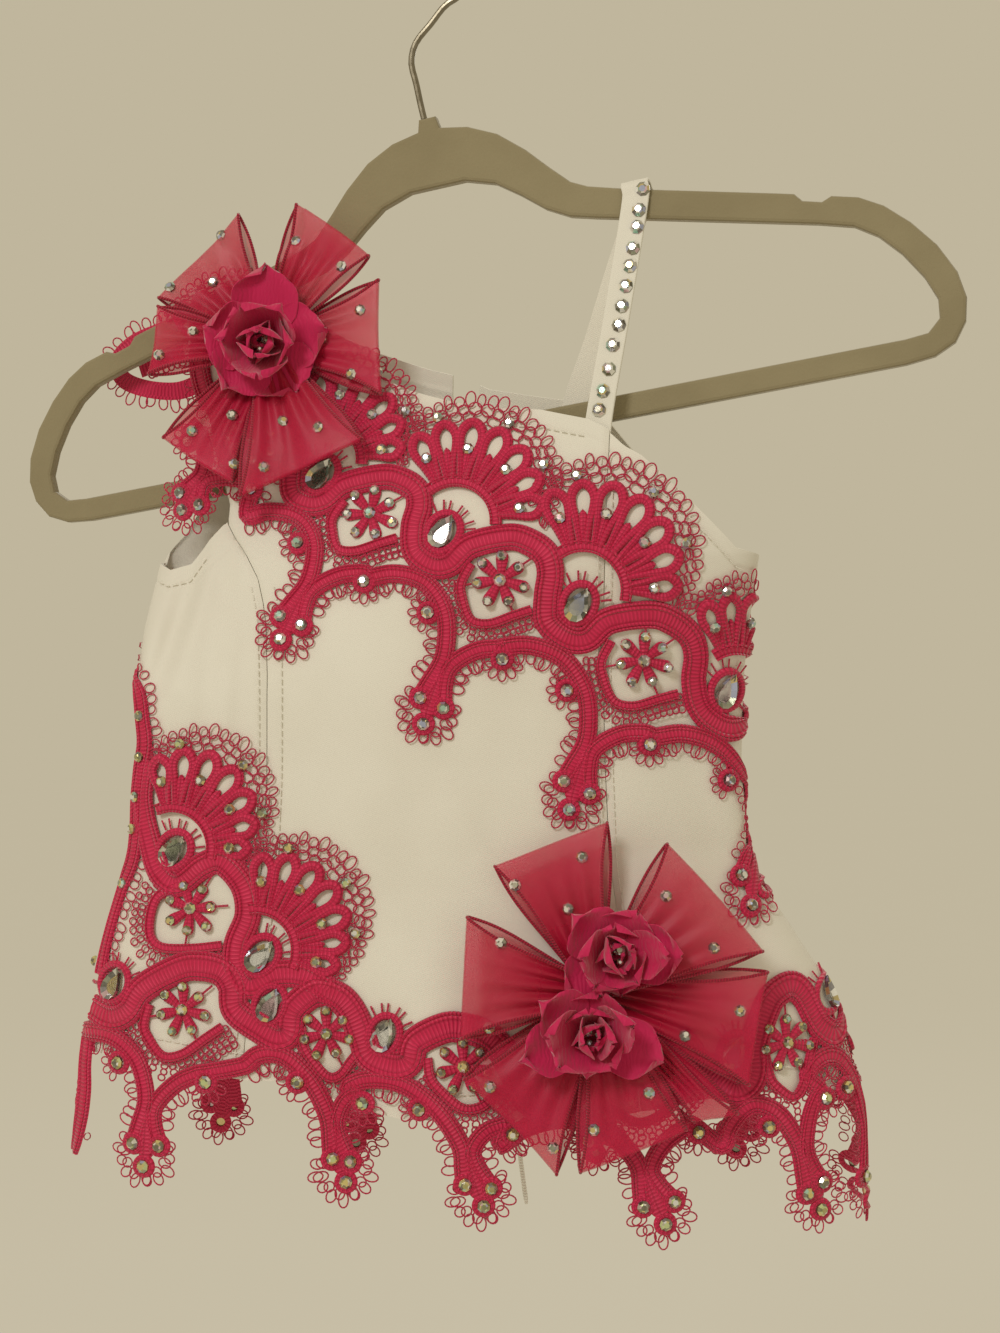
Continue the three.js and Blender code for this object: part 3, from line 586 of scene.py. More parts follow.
def finish_piece(name, mesh, paint, smooth_angle):
    shaped = bmesh.new()
    shaped.from_mesh(mesh)
    bmesh.ops.recalc_face_normals(shaped, faces=shaped.faces)
    shaped.to_mesh(mesh)
    shaped.free()
    mesh.materials.append(paint)
    piece = bpy.data.objects.new(name, mesh)
    bpy.context.collection.objects.link(piece)
    mesh.polygons.foreach_set("use_smooth", [smooth_angle > 0] * len(mesh.polygons))
    if smooth_angle > 0:
        mesh.set_sharp_from_angle(angle=smooth_angle)
    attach(piece, "root")
    return piece


def smooth_path(points, spacing, closed=False):
    """Points at an even spacing on a curve through the given ones."""
    points = np.asarray(points, float)
    if closed:
        points = np.concatenate([points[-1:], points, points[:2]])
    else:
        before, after = 2 * points[:1] - points[1:2], 2 * points[-1:] - points[-2:-1]
        points = np.concatenate([before, points, after])
    t = np.linspace(0, 1, 12, endpoint=False)[:, None]
    pieces = []
    for p0, p1, p2, p3 in zip(points, points[1:], points[2:], points[3:]):
        pieces.append(0.5 * (
            2 * p1 + (p2 - p0) * t + (2 * p0 - 5 * p1 + 4 * p2 - p3) * t ** 2
            + (3 * p1 - p0 - 3 * p2 + p3) * t ** 3
        ))
    dense = np.concatenate([*pieces, points[-2:-1]])
    run = run_lengths(dense)
    steps = max(3 if closed else 1, round(run[-1] / spacing))
    wanted = np.linspace(0, run[-1], steps + 1)
    if closed:
        wanted = wanted[:-1]
    return np.stack([np.interp(wanted, run, column) for column in dense.T], axis=-1)


def run_lengths(points, closed=False):
    """How far along its path each point lies."""
    looped = np.concatenate([points, points[:1]]) if closed else points
    return np.concatenate([[0], np.cumsum(np.linalg.norm(np.diff(looped, axis=0), axis=1))])


def across_path(path, closed=False):
    """Directions to the left of a path in x and z."""
    if closed:
        along = np.roll(path, -1, axis=0) - np.roll(path, 1, axis=0)
    else:
        along = np.gradient(path, axis=0)
    along = unit(along)
    return np.stack([-along[:, 1], along[:, 0]], axis=-1)


# Sections of cords and bands: place across from -1 to 1, and share of the height.
CORD_SECTION = [(-1, 0.15), (-0.8, 0.7), (0, 1), (0.8, 0.7), (1, 0.15), (0, 0)]
THREAD_SECTION = [(-1, 0.5), (0, 1), (1, 0.5), (0, 0)]
BAND_SECTION = [
    (-1, 0.1), (-0.94, 0.85), (-0.76, 1), (-0.6, 0.62), (0, 0.75), (0.6, 0.62), (0.76, 1),
    (0.94, 0.85), (1, 0.1), (0, 0),
]
# Millimetres from one section of a sweep to the next, by what it lays.
CORD_STEP, BAND_STEP, THREAD_STEP, LOOP_STEP = 0.9, 1.1, 0.85, 0.8
CORD_RISE = 0.62
THREAD_LIFT = 0.15
MOST_STRETCH = 6


class Lace(Work):
    """Cords, pads and threads laid on the cloth. Paths are x and z on one face of the body."""

    def __init__(self, lift=0.25, on_back=False):
        super().__init__()
        self.lift = lift
        self.on_back = on_back

    def lay(self, path, across, width, height, profile, closed=False, lift=0.0):
        """Sweeps a section along a path; width and height are numbers or one for each point."""
        width = np.broadcast_to(width, len(path))[:, None] / 2
        height = np.broadcast_to(height, len(path))[:, None]
        shares = np.array(profile)
        spread = shares[None, :, 0] * width / self.stretch(path, across)[:, None]
        x = path[:, 0, None] + across[:, 0, None] * spread
        z = path[:, 1, None] + across[:, 1, None] * spread
        out = self.lift + lift + shares[None, :, 1] * height
        self.add(self.place(x, z, out), closed, run_lengths(path, closed))

    def place(self, x, z, out):
        return on_cloth(x, z, out, self.on_back)

    def stretch(self, spots, ways):
        """How much longer a step is round the body than in x and z; it grows towards the sides."""
        x, z = spots.T
        centre, half = middle_and_half(z)
        share = np.abs(x - centre) / half
        share = np.clip(np.where(share > 1, 2 - share, share), 0, 0.999)
        flatness = (1 - share ** SECTION_POWER) ** (1 - 1 / SECTION_POWER)
        depth = section(z, BACK if self.on_back else FRONT)
        slope = depth / half * share ** (SECTION_POWER - 1) / flatness
        return np.clip(np.hypot(1, ways[:, 0] * slope), 1, MOST_STRETCH)

    def sweep(self, points, width, height, profile, spacing, closed=False, lift=0.0):
        path = smooth_path(points, spacing, closed)
        if callable(width):
            width = width(np.linspace(0, 1, len(path)))
        self.lay(path, across_path(path, closed), width, height, profile, closed, lift)

    def cord(self, points, width, height=None, closed=False):
        self.sweep(points, width, height or width * CORD_RISE, CORD_SECTION, CORD_STEP, closed)

    def ring(self, centre, radius, width):
        """A cord round a stone."""
        corners = [centre + radius * heading(FULL_TURN * k / 8) for k in range(8)]
        self.cord(corners, width, 1.5, closed=True)

    def band(self, points, width, height=1.5):
        self.sweep(points, width, height, BAND_SECTION, BAND_STEP)

    def rimmed(self, points, width, height=1.5, rim=1.7):
        """A band with a cord laid along each side of it."""
        path = smooth_path(points, BAND_STEP)
        across = across_path(path)
        self.lay(path, across, width, height, BAND_SECTION)
        aside = across * (width + rim * 0.7) / 2 / self.stretch(path, across)[:, None]
        for side in (-1, 1):
            self.lay(path + side * aside, across, rim, height * 0.8, CORD_SECTION)

    def thread(self, points, width):
        self.sweep(points, width, width, THREAD_SECTION, THREAD_STEP, lift=THREAD_LIFT)

    def pad(self, root, tip, width, height):
        """A padded finger, narrow at its root and round at its tip."""
        def shape(t):
            return width * np.minimum(1, 0.45 + 0.7 * t) * np.sqrt(np.clip(1.02 - t ** 7, 0, 1))
        self.sweep([root, (root + tip) / 2, tip], shape, height, CORD_SECTION, LOOP_STEP)

    def loop(self, centre, outwards, reach, width, thread=0.55):
        """One loop of thread, standing from centre in the outwards direction."""
        side = np.array((-outwards[1], outwards[0]))
        long, wide = self.stretch(np.array([centre, centre]), np.array([outwards, side]))
        reach, width = reach / long, width / wide
        forwards, sideways = outwards * (reach / 2), side * (width / 2)
        points = [
            centre + forwards * (1 - math.cos(turn)) + sideways * math.sin(turn)
            for turn in np.linspace(0, FULL_TURN, 9)[:-1]
        ]
        self.sweep(points, thread, thread, THREAD_SECTION, LOOP_STEP, True, THREAD_LIFT)


class ShoulderLace(Lace):
    """Lace on the back that runs past the cloth's edge and hangs behind the hanger's arm."""

    def place(self, x, z, out):
        point = on_cloth(np.maximum(x, section(z, LEFT) + 5), z, out, True)
        behind_arm = middle_plane(x, z) + 6.5 + out
        return np.stack([x, np.maximum(point[..., 1], behind_arm), z], axis=-1)

    def stretch(self, spots, ways):
        return np.ones(len(spots))


def cut_crystal(corners, girdle=None):
    """A faceted crystal of unit size, cut from a cylinder. girdle: its outline, if not round."""
    bpy.ops.object.select_all(action="DESELECT")
    bpy.ops.mesh.primitive_cylinder_add(vertices=corners, radius=0.5, depth=0.5, location=(0, 0, 0))
    blank = bpy.context.object
    if girdle:
        for k, vertex in enumerate(blank.data.vertices):
            vertex.co.xy = girdle[k // 2]
    bpy.ops.object.mode_set(mode="EDIT")
    bpy.ops.mesh.select_mode(type="FACE")
    for thickness, depth in ((0.15, 0.5), (0.11, 0.2)):
        bpy.ops.mesh.select_all(action="DESELECT")
        bpy.ops.object.mode_set(mode="OBJECT")
        top = max(blank.data.polygons, key=lambda face: face.center.z)
        top.select = True
        bpy.ops.object.mode_set(mode="EDIT")
        bpy.ops.mesh.inset(thickness=thickness, depth=depth)
    bpy.ops.object.mode_set(mode="OBJECT")
    shape = [vertex.co.copy() for vertex in blank.data.vertices]
    faces = [tuple(face.vertices) for face in blank.data.polygons]
    bpy.data.objects.remove(blank)
    return shape, faces


def pear_girdle(corners):
    turns = [FULL_TURN * k / corners for k in range(corners)]
    return [(math.cos(t) / 2, math.sin(t) * abs(math.sin(t / 2)) ** 1.2 * 0.62) for t in turns]


# Height of the crystals' top facet, in the units of the cuts.
TABLE_LEVEL = 0.9


class Stones:
    """Faceted crystals, copied from two cuts and gathered into one mesh for a whole piece."""

    CUTS = {"round": cut_crystal(8), "pear": cut_crystal(14, pear_girdle(14))}
    # Facet colours: the stones' own tints, with painted reflections in the very dark greys and near
    # whites.
    TINTS_AND_PAINTED_REFLECTIONS = [
        (236, 234, 226), (198, 194, 178), (142, 138, 118), (84, 80, 66), (62, 58, 50),
        (222, 182, 194), (172, 182, 222), (156, 204, 186), (214, 190, 112), (248, 246, 240),
        (114, 108, 114), (138, 146, 118), (250, 250, 250),
    ]
    # Top facets of the pears: their own aurora tints, made bright as a painted highlight.
    TABLE_TINTS_AND_PAINTED_HIGHLIGHTS = [(128, 232, 224), (186, 214, 246), (206, 244, 222), (228, 220, 246), (248, 248, 238)]
    # Gold stones: their own colour, spread from dark to bright facets as painted reflection.
    GOLD_AND_PAINTED_REFLECTIONS = [(226, 206, 112), (168, 158, 74), (120, 122, 60), (206, 222, 150), (92, 82, 44)]

    def __init__(self, seed, golden=0.0):
        self.draw = random.Random(seed)
        self.golden = golden
        self.points = []
        self.faces = []
        self.tints_and_painted_reflections = []

    def add(self, cut, place, outwards, turn, size):
        outwards = Vector(outwards).normalized()
        side = Vector((0.05, 0, 1)).cross(outwards).normalized()
        top = outwards.cross(side)
        forwards = side * math.cos(turn) + top * math.sin(turn)
        sideways = outwards.cross(forwards)
        shape, faces = self.CUTS[cut]
        first = len(self.points)
        for spot in shape:
            moved = forwards * (spot.x * size[0]) + sideways * (spot.y * size[1])
            self.points.append(Vector(place) + moved + outwards * (spot.z * size[2]))
        for face in faces:
            self.faces.append(tuple(first + k for k in face))
            table = min(shape[k].z for k in face) > TABLE_LEVEL
            gold = self.draw.random() < self.golden and cut != "pear"
            shades = self.GOLD_AND_PAINTED_REFLECTIONS if gold else self.TINTS_AND_PAINTED_REFLECTIONS
            tint_and_painted_reflection = self.draw.choice(self.TABLE_TINTS_AND_PAINTED_HIGHLIGHTS if table and cut == "pear" else shades)
            red, green, blue, alpha = rgb(*tint_and_painted_reflection)
            # Painted reflection: each facet gets its own brightness, so the facets look lit and
            # shaded at random.
            share = self.draw.uniform(0.8, 1.05)
            self.tints_and_painted_reflections += [red * share, green * share, blue * share, alpha] * len(face)

    def round(self, place, outwards, size):
        self.add("round", place, outwards, self.draw.uniform(0, math.pi), (size, size, size * 0.38))

    def pear(self, place, outwards, width, length, turn):
        """The point of the pear lies in the turn direction."""
        self.add("pear", place, outwards, turn + math.pi, (length, width, width * 0.4))

    def build(self, name, paint):
        mesh = bpy.data.meshes.new(name)
        mesh.from_pydata([p * MM for p in self.points], [], self.faces)
        tint_and_painted_reflection = mesh.color_attributes.new("stone_tint_and_painted_reflection", "FLOAT_COLOR", "CORNER")
        tint_and_painted_reflection.data.foreach_set("color", self.tints_and_painted_reflections)
        return finish_piece(name, mesh, paint, 0)


def set_on_cloth(x, z, out, on_back=False):
    """Place and outward direction of a stone on the cloth."""
    place = on_cloth(x, z, out, on_back)
    return place, on_cloth(x, z, out + 1.0, on_back) - place


# ---- cloth panels ----
LEFT_SEAM = np.array([
    (-422, -55), (-361, -50.5), (-328, -47.5), (-304, -46.5), (-268, -46.5), (-250, -47.5),
    (-242, -49), (-233, -51.5), (-224, -56.5), (-218, -61), (-212, -64.5), (-205, -64),
    (-189, -69), (-167, -75), (-144, -82), (-120, -82),
])
RIGHT_SEAM = np.array([
    (-422, 85), (-365, 79), (-333, 74.5), (-298, 73), (-255, 72), (-227, 72), (-206, 72.5),
    (-183, 74), (-120, 74),
])
BACK_LEFT_EDGE = np.array([
    (-422, -92.4), (-226, -92.4), (-223, -92), (-214, -84), (-200, -77), (-167, -79),
    (-144, -84), (-120, -84),
])
HEM = np.array([
    (-117, -402), (-101, -402), (-53, -408.5), (-42, -408.5), (-9, -419), (1, -421), (65, -421.5),
    (127, -413), (158, -415), (167, -419),
])
FRONT_CENTRE_TOP = np.array([
    (-50.5, -113.5), (-49, -121), (-44, -131.5), (-35.5, -140.5), (-21.5, -151.5), (-6.5, -160.5),
    (2.5, -165), (11.5, -168), (20, -170.5), (32.5, -173), (50, -174), (66.5, -178), (74, -182),
])
FRONT_RIGHT_TOP = np.array([
    (74, -183), (79, -188), (85, -191.5), (98.5, -204.5), (107, -213), (118, -224), (127.5, -226),
])
FRONT_LEFT_TOP = np.array([
    (-92.5, -226), (-86, -229), (-78, -227), (-71.5, -218.5), (-64.5, -211.5),
])
BACK_TOP = np.array([
    (-50.5, -113.5), (-49, -119), (-44, -127), (-36, -133), (-22, -142), (-8.5, -148), (10, -154.5),
    (23.5, -158), (32.5, -162.5), (46, -165), (64, -168), (76, -176), (98, -203), (118, -224),
    (127.5, -226),
])
HEM_LEVEL = -412
ARMPIT = -226
BACK_OPENING = 10
BACK_OPENING_X = 24
CLOTH_WALL = 1.3
# Millimetres between a panel's edge and the seam line, and its angle short of the side line.
SEAM_GAP = 0.15
SIDE_GAP = 0.004
# Distance of the top edges' turned cloth and of the hem from their stitching.
STITCH_INSIDE = 6.5
HEM_FOLD = 9


def look_up(table, key):
    return np.interp(key, table[:, 0], table[:, 1])


def top_level(table, x):
    wanted = look_up(table, x)
    if table[0, 0] != SHOULDER_INNER_X:
        return wanted
    return np.where(x < SHOULDER_INNER_X, shoulder_line(x), wanted)


def build_panel(name, node, left, right, table, paint, columns=70, rows=110):
    place = np.linspace(0, 1, columns + 1)
    hem_angle = left(HEM_LEVEL) + (right(HEM_LEVEL) - left(HEM_LEVEL)) * place
    hem = look_up(HEM, surface(hem_angle, HEM_LEVEL + 0 * place)[:, 0])
    top = np.full(columns + 1, float(ARMPIT))
    for _ in range(24):
        angle = left(top) + (right(top) - left(top)) * place
        top = (top + top_level(table, surface(angle, top)[:, 0])) / 2
    share = 1 - (1 - np.linspace(0, 1, rows + 1)) ** 1.5
    z = hem + (top - hem) * share[:, None]
    low, high = left(z), right(z)
    angle = low + (high - low) * place
    spot = surface(angle, z)
    from_left = np.linalg.norm(spot - surface(low, z), axis=-1)
    from_right = np.linalg.norm(spot - surface(high, z), axis=-1)
    seam_dip = -0.8 * np.exp(-((np.minimum(from_left, from_right) / 1.1) ** 2))
    hem_ridges = -0.3 * sum(
        np.exp(-((away / 0.9) ** 2)) for away in (top - z - STITCH_INSIDE, z - hem - HEM_FOLD)
    )
    x = spot[..., 0]
    ripple = 0.3 * (np.sin(x / 8 + z / 21) + np.sin(z / 12.5 - x / 27))
    ripple += 0.15 * np.sin(x / 4.7 - z / 33)
    out = seam_dip + hem_ridges + 0.85 * (ripple - 0.65)
    outer, inner = (
        roll_over_shoulder(body_point(angle, z, level), angle, level)
        for level in (out, out - CLOTH_WALL)
    )
    mesh = wall_mesh(name, outer, inner, x, z)
    piece = finish_piece(name, mesh, paint, PANEL_SOFT_ANGLE)
    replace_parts(piece, node)


def wall_mesh(name, outer, inner, u, v):
    """A closed wall between two grids of points, with a UV map in millimetres."""
    rows, columns = outer.shape[:2]
    count = rows * columns
    at = np.arange(count).reshape(rows, columns)
    quads = np.stack([at[:-1, :-1], at[:-1, 1:], at[1:, 1:], at[1:, :-1]], axis=-1).reshape(-1, 4)
    rim = np.concatenate([at[0, :], at[1:, -1], at[-1, -2::-1], at[-2:0:-1, 0]])
    after = np.roll(rim, -1)
    edge = np.stack([rim, rim + count, after + count, after], axis=-1)
    faces = np.concatenate([quads, quads[:, ::-1] + count, edge])
    points = np.concatenate([outer.reshape(-1, 3), inner.reshape(-1, 3)]) * MM
    mesh = bpy.data.meshes.new(name)
    mesh.from_pydata(points.tolist(), [], faces.tolist())
    flat = np.stack([np.ravel(u), np.ravel(v)], axis=-1)
    corners = np.concatenate([flat, flat])[faces.ravel()]
    mesh.uv_layers.new(name="cloth").data.foreach_set("uv", corners.ravel())
    return mesh


def seam(table, gap, on_back=False):
    return lambda z: angle_at(look_up(table, z) + gap, z, on_back)


def fixed_angle(value):
    return lambda z: value + 0 * z


def back_left_edge(z):
    upper = angle_at(look_up(BACK_LEFT_EDGE, z), z, True)
    return np.where(z < ARMPIT, FULL_TURN - SIDE_GAP, upper)


def opening_edge(side):
    return lambda z: angle_at(BACK_OPENING_X + side * BACK_OPENING / 2 + 0 * z, z, True)


def build_panels(paint):
    build_panel(
        "centre_front_cloth", "front_centre", seam(LEFT_SEAM, SEAM_GAP),
        seam(RIGHT_SEAM, -SEAM_GAP), FRONT_CENTRE_TOP, paint, 110, 150,
    )
    build_panel(
        "left_side_front_cloth", "front_side_left", fixed_angle(SIDE_GAP),
        seam(LEFT_SEAM, -SEAM_GAP), FRONT_LEFT_TOP, paint,
    )
    build_panel(
        "right_side_front_cloth", "front_side_right", seam(RIGHT_SEAM, SEAM_GAP),
        fixed_angle(math.pi - SIDE_GAP), FRONT_RIGHT_TOP, paint,
    )
    build_panel(
        "right_back_cloth", "back_right", fixed_angle(math.pi + SIDE_GAP), opening_edge(1),
        BACK_TOP, paint,
    )
    build_panel(
        "left_back_cloth", "back_left", opening_edge(-1), back_left_edge,
        BACK_TOP, paint, 90, 150,
    )


# ---- stitching ----
STITCH = 2.3
STITCH_GAP = 0.7
STITCH_GRID = 0.5


def stitch_line(work, points):
    path = smooth_path(points, STITCH_GRID)
    step = round((STITCH + STITCH_GAP) / STITCH_GRID)
    length = round(STITCH / STITCH_GRID)
    for start in range(0, len(path) - length, step):
        work.sweep(path[start:start + length + 1:2], 0.5, 0.38, THREAD_SECTION, CORD_STEP)


def inside_edge(table, low, high):
    x = np.linspace(low, high, 24)
    return np.stack([x, top_level(table, x) - STITCH_INSIDE], axis=-1)


def beside_seam(table, offset, low, high):
    z = np.linspace(low, high, 24)
    return np.stack([look_up(table, z) + offset, z], axis=-1)


def beside_opening(offset):
    z = np.linspace(-402, -172, 24)
    return np.stack([BACK_OPENING_X + offset + 0 * z, z], axis=-1)


def above_hem(low, high):
    x = np.linspace(low, high, 60)
    return np.stack([x, look_up(HEM, x) + HEM_FOLD], axis=-1)


def build_stitching(paint):
    front = [
        inside_edge(FRONT_CENTRE_TOP, -38, 66), inside_edge(FRONT_RIGHT_TOP, 78, 122),
        inside_edge(FRONT_LEFT_TOP, -90, -70), beside_seam(LEFT_SEAM, -2.8, -400, -236),
        beside_seam(LEFT_SEAM, 5.5, -400, -236), beside_seam(RIGHT_SEAM, -2.2, -410, -190),
        beside_seam(RIGHT_SEAM, 2.2, -410, -196), above_hem(-108, 156),
    ]
    back = [
        inside_edge(BACK_TOP, -38, 16), inside_edge(BACK_TOP, 33, 120),
        beside_opening(-8), beside_opening(8), above_hem(-104, 156),
    ]
    for name, lines, on_back in (("front_stitching", front, False), ("back_stitching", back, True)):
        stitching = Lace(0.0, on_back)
        for line in lines:
            stitch_line(stitching, line)
        stitching.build(name, paint, "white_knit")


# ---- lace pattern ----
STONE = 4.6
STONE_OUT = 1.7
HEM_GOLD = 0.6


class Repeat:
    """One repeat of the lace: a pear stone, the way to the next pear, and the way up."""

    def __init__(self, pear, following, drop):
        self.pear = pear
        self.along = following - pear
        self.rise = (pear + 0.455 * self.along - drop) / 1.08

    def at(self, along, rise):
        return self.pear + along * self.along + rise * self.rise

    def path(self, points):
        return [self.at(*point) for point in points]


# The pattern of a repeat, in shares of its way along and up.
WAVE = [
    (-0.11, -0.199), (0.031, -0.228), (0.132, -0.167), (0.199, 0.0), (0.395, 0.165), (0.53, 0.20),
    (0.66, 0.18), (0.745, 0.09), (0.80, -0.06),
]
CELL_EDGE = [
    (0.26, -0.10), (0.26, -0.241), (0.305, -0.321), (0.422, -0.427), (0.541, -0.395),
    (0.658, -0.272), (0.746, -0.181),
]
LOWER_LEFT = [
    (-0.30, -0.50), (-0.185, -0.408), (-0.06, -0.36), (0.06, -0.355), (0.17, -0.40),
    (0.271, -0.487), (0.345, -0.62), (0.385, -0.76), (0.375, -0.92), (0.367, -1.036),
]
LOWER_RIGHT = [
    (0.531, -1.024), (0.47, -0.90), (0.445, -0.79), (0.48, -0.688), (0.56, -0.58), (0.656, -0.514),
    (0.70, -0.50),
]
FLOWER = (0.477, -0.105)
ARCH_STONE = (0.724, -0.556)
SIDE_STONE = (0.155, -0.52)
DROP_STONES = [(0.367, -1.036), (0.531, -1.024), (0.464, -1.178)]
DROP_FOOT = (0.455, -1.10)
DROP_PAD = [(0.41, -0.80), (0.462, -1.13)]


def fan(lace, stones, centre, inner, mid, spread, sides=2.1, petals=7):
    """A fan of arched petals with padded fingers and rows of picots. sides: reach of its ends."""
    def reach(t):
        return inner * (sides + (2.76 - sides) * math.cos(1.35 * (t + 0.18)))

    def picot_reach(t):
        return reach(t) * (1.13 + 0.13 * math.cos(math.pi * t / 2))

    def spot(radius, t):
        return centre + radius * heading(mid - t * spread)

    def petal_width(t):
        return 2.4 + 1.3 * np.sin(np.pi * t) ** 2

    arc = np.linspace(-1.12, 1.12, 15)
    lace.band([spot(inner + 1.4, t) for t in arc], 4.2, 1.8)
    pitch = 2 / petals
    for k in range(petals):
        t = -1 + pitch * (k + 0.5)
        outer = reach(t)
        length = outer - inner
        half = pitch * 0.43
        outline = [
            spot(inner + 2.2, t - half * 0.55), spot(inner + length * 0.45, t - half * 0.8),
            spot(inner + length * 0.76, t - half), spot(outer - 1.6, t - half * 0.62),
            spot(outer, t),
            spot(outer - 1.6, t + half * 0.62), spot(inner + length * 0.76, t + half),
            spot(inner + length * 0.45, t + half * 0.8), spot(inner + 2.2, t + half * 0.55),
        ]
        lace.sweep(outline, petal_width, 1.8, CORD_SECTION, 0.9)
        finger = spot(inner + length * 0.6, t)
        lace.pad(spot(inner + 2, t), finger, min(4.6, spread * 2 / petals * inner * 0.85), 1.4)
        if k % 2 == 0:
            stones.append((finger - 0.8 * heading(mid - t * spread), STONE * 0.9))
    rows = 3
    for row in range(rows):
        count = 19 + 3 * row
        for k in range(count):
            t = min(-1.04 + 2.08 * (k + 0.5 * (row % 2)) / (count - 1), 1.06)
            depth = picot_reach(t) - reach(t)
            low = reach(t) + depth * row / rows
            taller, wider = (1.25, 1.2) if row < rows - 1 else (1.5, 0.95)
            long = depth * taller / rows * (1 + 0.2 * math.sin(3.7 * k + 2 * row))
            width = 2 * spread * low / count * wider * (1 + 0.15 * math.sin(1.9 * k))
            way = heading(mid - t * spread + 0.09 * math.sin(2.9 * k + row))
            lace.loop(spot(low - 0.3, t), way, long + 0.5, width)
    for t in (-0.62, 0.02, 0.5):
        stones.append((spot(reach(t) * 0.62 + picot_reach(t) * 0.38, t), STONE * 0.85))


def pear_setting(lace, stones, pear, mid, size=1.0):
    """The ring round a pear stone, its eyelash stitches and its little bars."""
    tip = mid + math.pi
    ring = []
    for k in range(12):
        turn = FULL_TURN * k / 12
        long = 6.9 * size * math.cos(turn) * heading(tip)
        ring.append(pear + long + 5.6 * size * math.sin(turn) * heading(tip + math.pi / 2))
    lace.cord(ring, 3.0 * size, 1.7, closed=True)
    for offset in (-58, -44, -22, -9, 14, 27, 48, 62):
        way = heading(mid + math.radians(offset))
        lace.thread([pear + way * 7.6 * size, pear + way * 11.4 * size], 0.75)
    for offset in (-60, -20, 20, 60):
        way = heading(tip + math.radians(offset))
        lace.cord([pear + way * 7.5 * size, pear + way * 10.4 * size], 1.3)
    stones.append((pear, "pear", 8.6 * size, 13.2 * size, tip))


def flower(lace, stones, centre, turn, size, petals=7):
    for k in range(petals):
        way = heading(turn + FULL_TURN * k / petals)
        reach = (8.4 + 0.7 * math.sin(3 * k)) * size
        lace.pad(centre + way * 0.6, centre + way * (reach + 1.8), 4.8 * size, 1.3)
        if k % 2 == 0:
            lace.thread([centre + way * (reach + 1), centre + way * (reach + 6.5 * size)], 0.8)
        stones.append((centre + way * reach, STONE * 0.82 * size))
    stones.append((centre, STONE * size))


def net(lace, path, depth, rows, draw):
    """Rows of small rings of thread along the right-hand side of a path."""
    line = smooth_path(path, 2.3)
    along = unit(np.gradient(line, axis=0))
    for row in range(rows):
        for spot, way in zip(line, along):
            right = right_of(way)
            start = spot + right * depth * row / rows + way * draw.uniform(-0.4, 0.4)
            reach = depth / rows * draw.uniform(1.0, 1.3)
            lace.loop(start, right, reach, 2.6 * draw.uniform(0.85, 1.1), 0.62)


def picots(lace, path):
    """Thread loops along the right-hand side of a path."""
    line = smooth_path(path, 3.8)
    along = unit(np.gradient(line, axis=0))
    for k, (spot, way) in enumerate(zip(line, along)):
        right = right_of(way)
        lean = 0.3 * math.sin(2.3 * k)
        outwards = right * math.cos(lean) + way * math.sin(lean)
        lace.loop(spot + right * 2.3, outwards, 5.0 + 0.8 * math.sin(1.7 * k), 3.4)


def edge_stone(lace, stones, spot, turns, apart, reach, width):
    """A stone of the lower edge in its ring, with loops of thread in directions round it."""
    lace.ring(spot, 3.0, 2.4)
    for turn in turns:
        way = heading(math.radians(turn))
        lace.loop(spot + way * apart, way, reach, width)
    stones.append((spot, STONE))


def lower_edge(lace, stones, repeat, parts):
    """The lower band of a repeat with its picots, arch stone and three-stone drop."""
    if "left" in parts:
        first = 3 if "short" in parts else 0
        lace.rimmed(repeat.path(LOWER_LEFT[first:]), 4.4, 1.4, 1.4)
        picots(lace, repeat.path(LOWER_LEFT[first:9]))
        edge_stone(lace, stones, repeat.at(*SIDE_STONE), range(110, 280, 34), 3.6, 3.6, 2.6)
    if "right" in parts:
        lace.rimmed(repeat.path(LOWER_RIGHT), 4.2, 1.4, 1.4)
        picots(lace, repeat.path(LOWER_RIGHT[1:6]))
        edge_stone(lace, stones, repeat.at(*ARCH_STONE), range(205, 365, 32), 3.8, 4.2, 2.9)
    if "drop" in parts:
        foot = repeat.at(*DROP_FOOT)
        lace.pad(*repeat.path(DROP_PAD), 8.0, 1.3)
        for spot in repeat.path(DROP_STONES):
            lace.ring(spot, 2.9, 2.5)
            stones.append((spot, STONE))
        down = math.atan2(-repeat.rise[1], -repeat.rise[0])
        for row, (radius, count) in enumerate(((5.4, 8), (7.2, 10))):
            for k in range(count):
                way = heading(down + math.radians(236 * (k + 0.2 * row) / (count - 1) - 118))
                lace.loop(foot + way * radius, way, 4.5 + 0.9 * math.sin(2.1 * k), 3.4)


def lace_repeat(lace, stones, repeat, draw, parts, mid=None, size=1.0, net_rows=3):
    """One repeat; parts lists what of the pattern this stretch of lace still has."""
    if mid is None:
        mid = math.atan2(repeat.rise[1], repeat.rise[0])
    if "pear" in parts:
        pear_setting(lace, stones, repeat.pear, mid, size)
    if "flower" in parts:
        flower(lace, stones, repeat.at(*FLOWER), mid + 0.4, size)
    if "cell" in parts:
        lace.band(repeat.path(CELL_EDGE), 3.4, 1.4)
        net(lace, repeat.path(CELL_EDGE[1:]), 2.15 * net_rows * size, net_rows, draw)
    lower_edge(lace, stones, repeat, parts)


def place_stones(name, places, on_back, seed, paint, golden=0.0):
    """places: a spot and the size of a round stone, or a spot, "pear", width, length and turn."""
    stones = Stones(seed, golden)
    for (x, z), kind, *pear in places:
        spot, way = set_on_cloth(x, z, STONE_OUT, on_back)
        if kind == "pear":
            width, length, turn = pear
            stones.pear(spot, way, width, length, -turn if on_back else turn)
        else:
            stones.round(spot, way, kind)
    return stones.build(name, paint)


WHOLE = ("pear", "flower", "cell", "left", "right", "drop")

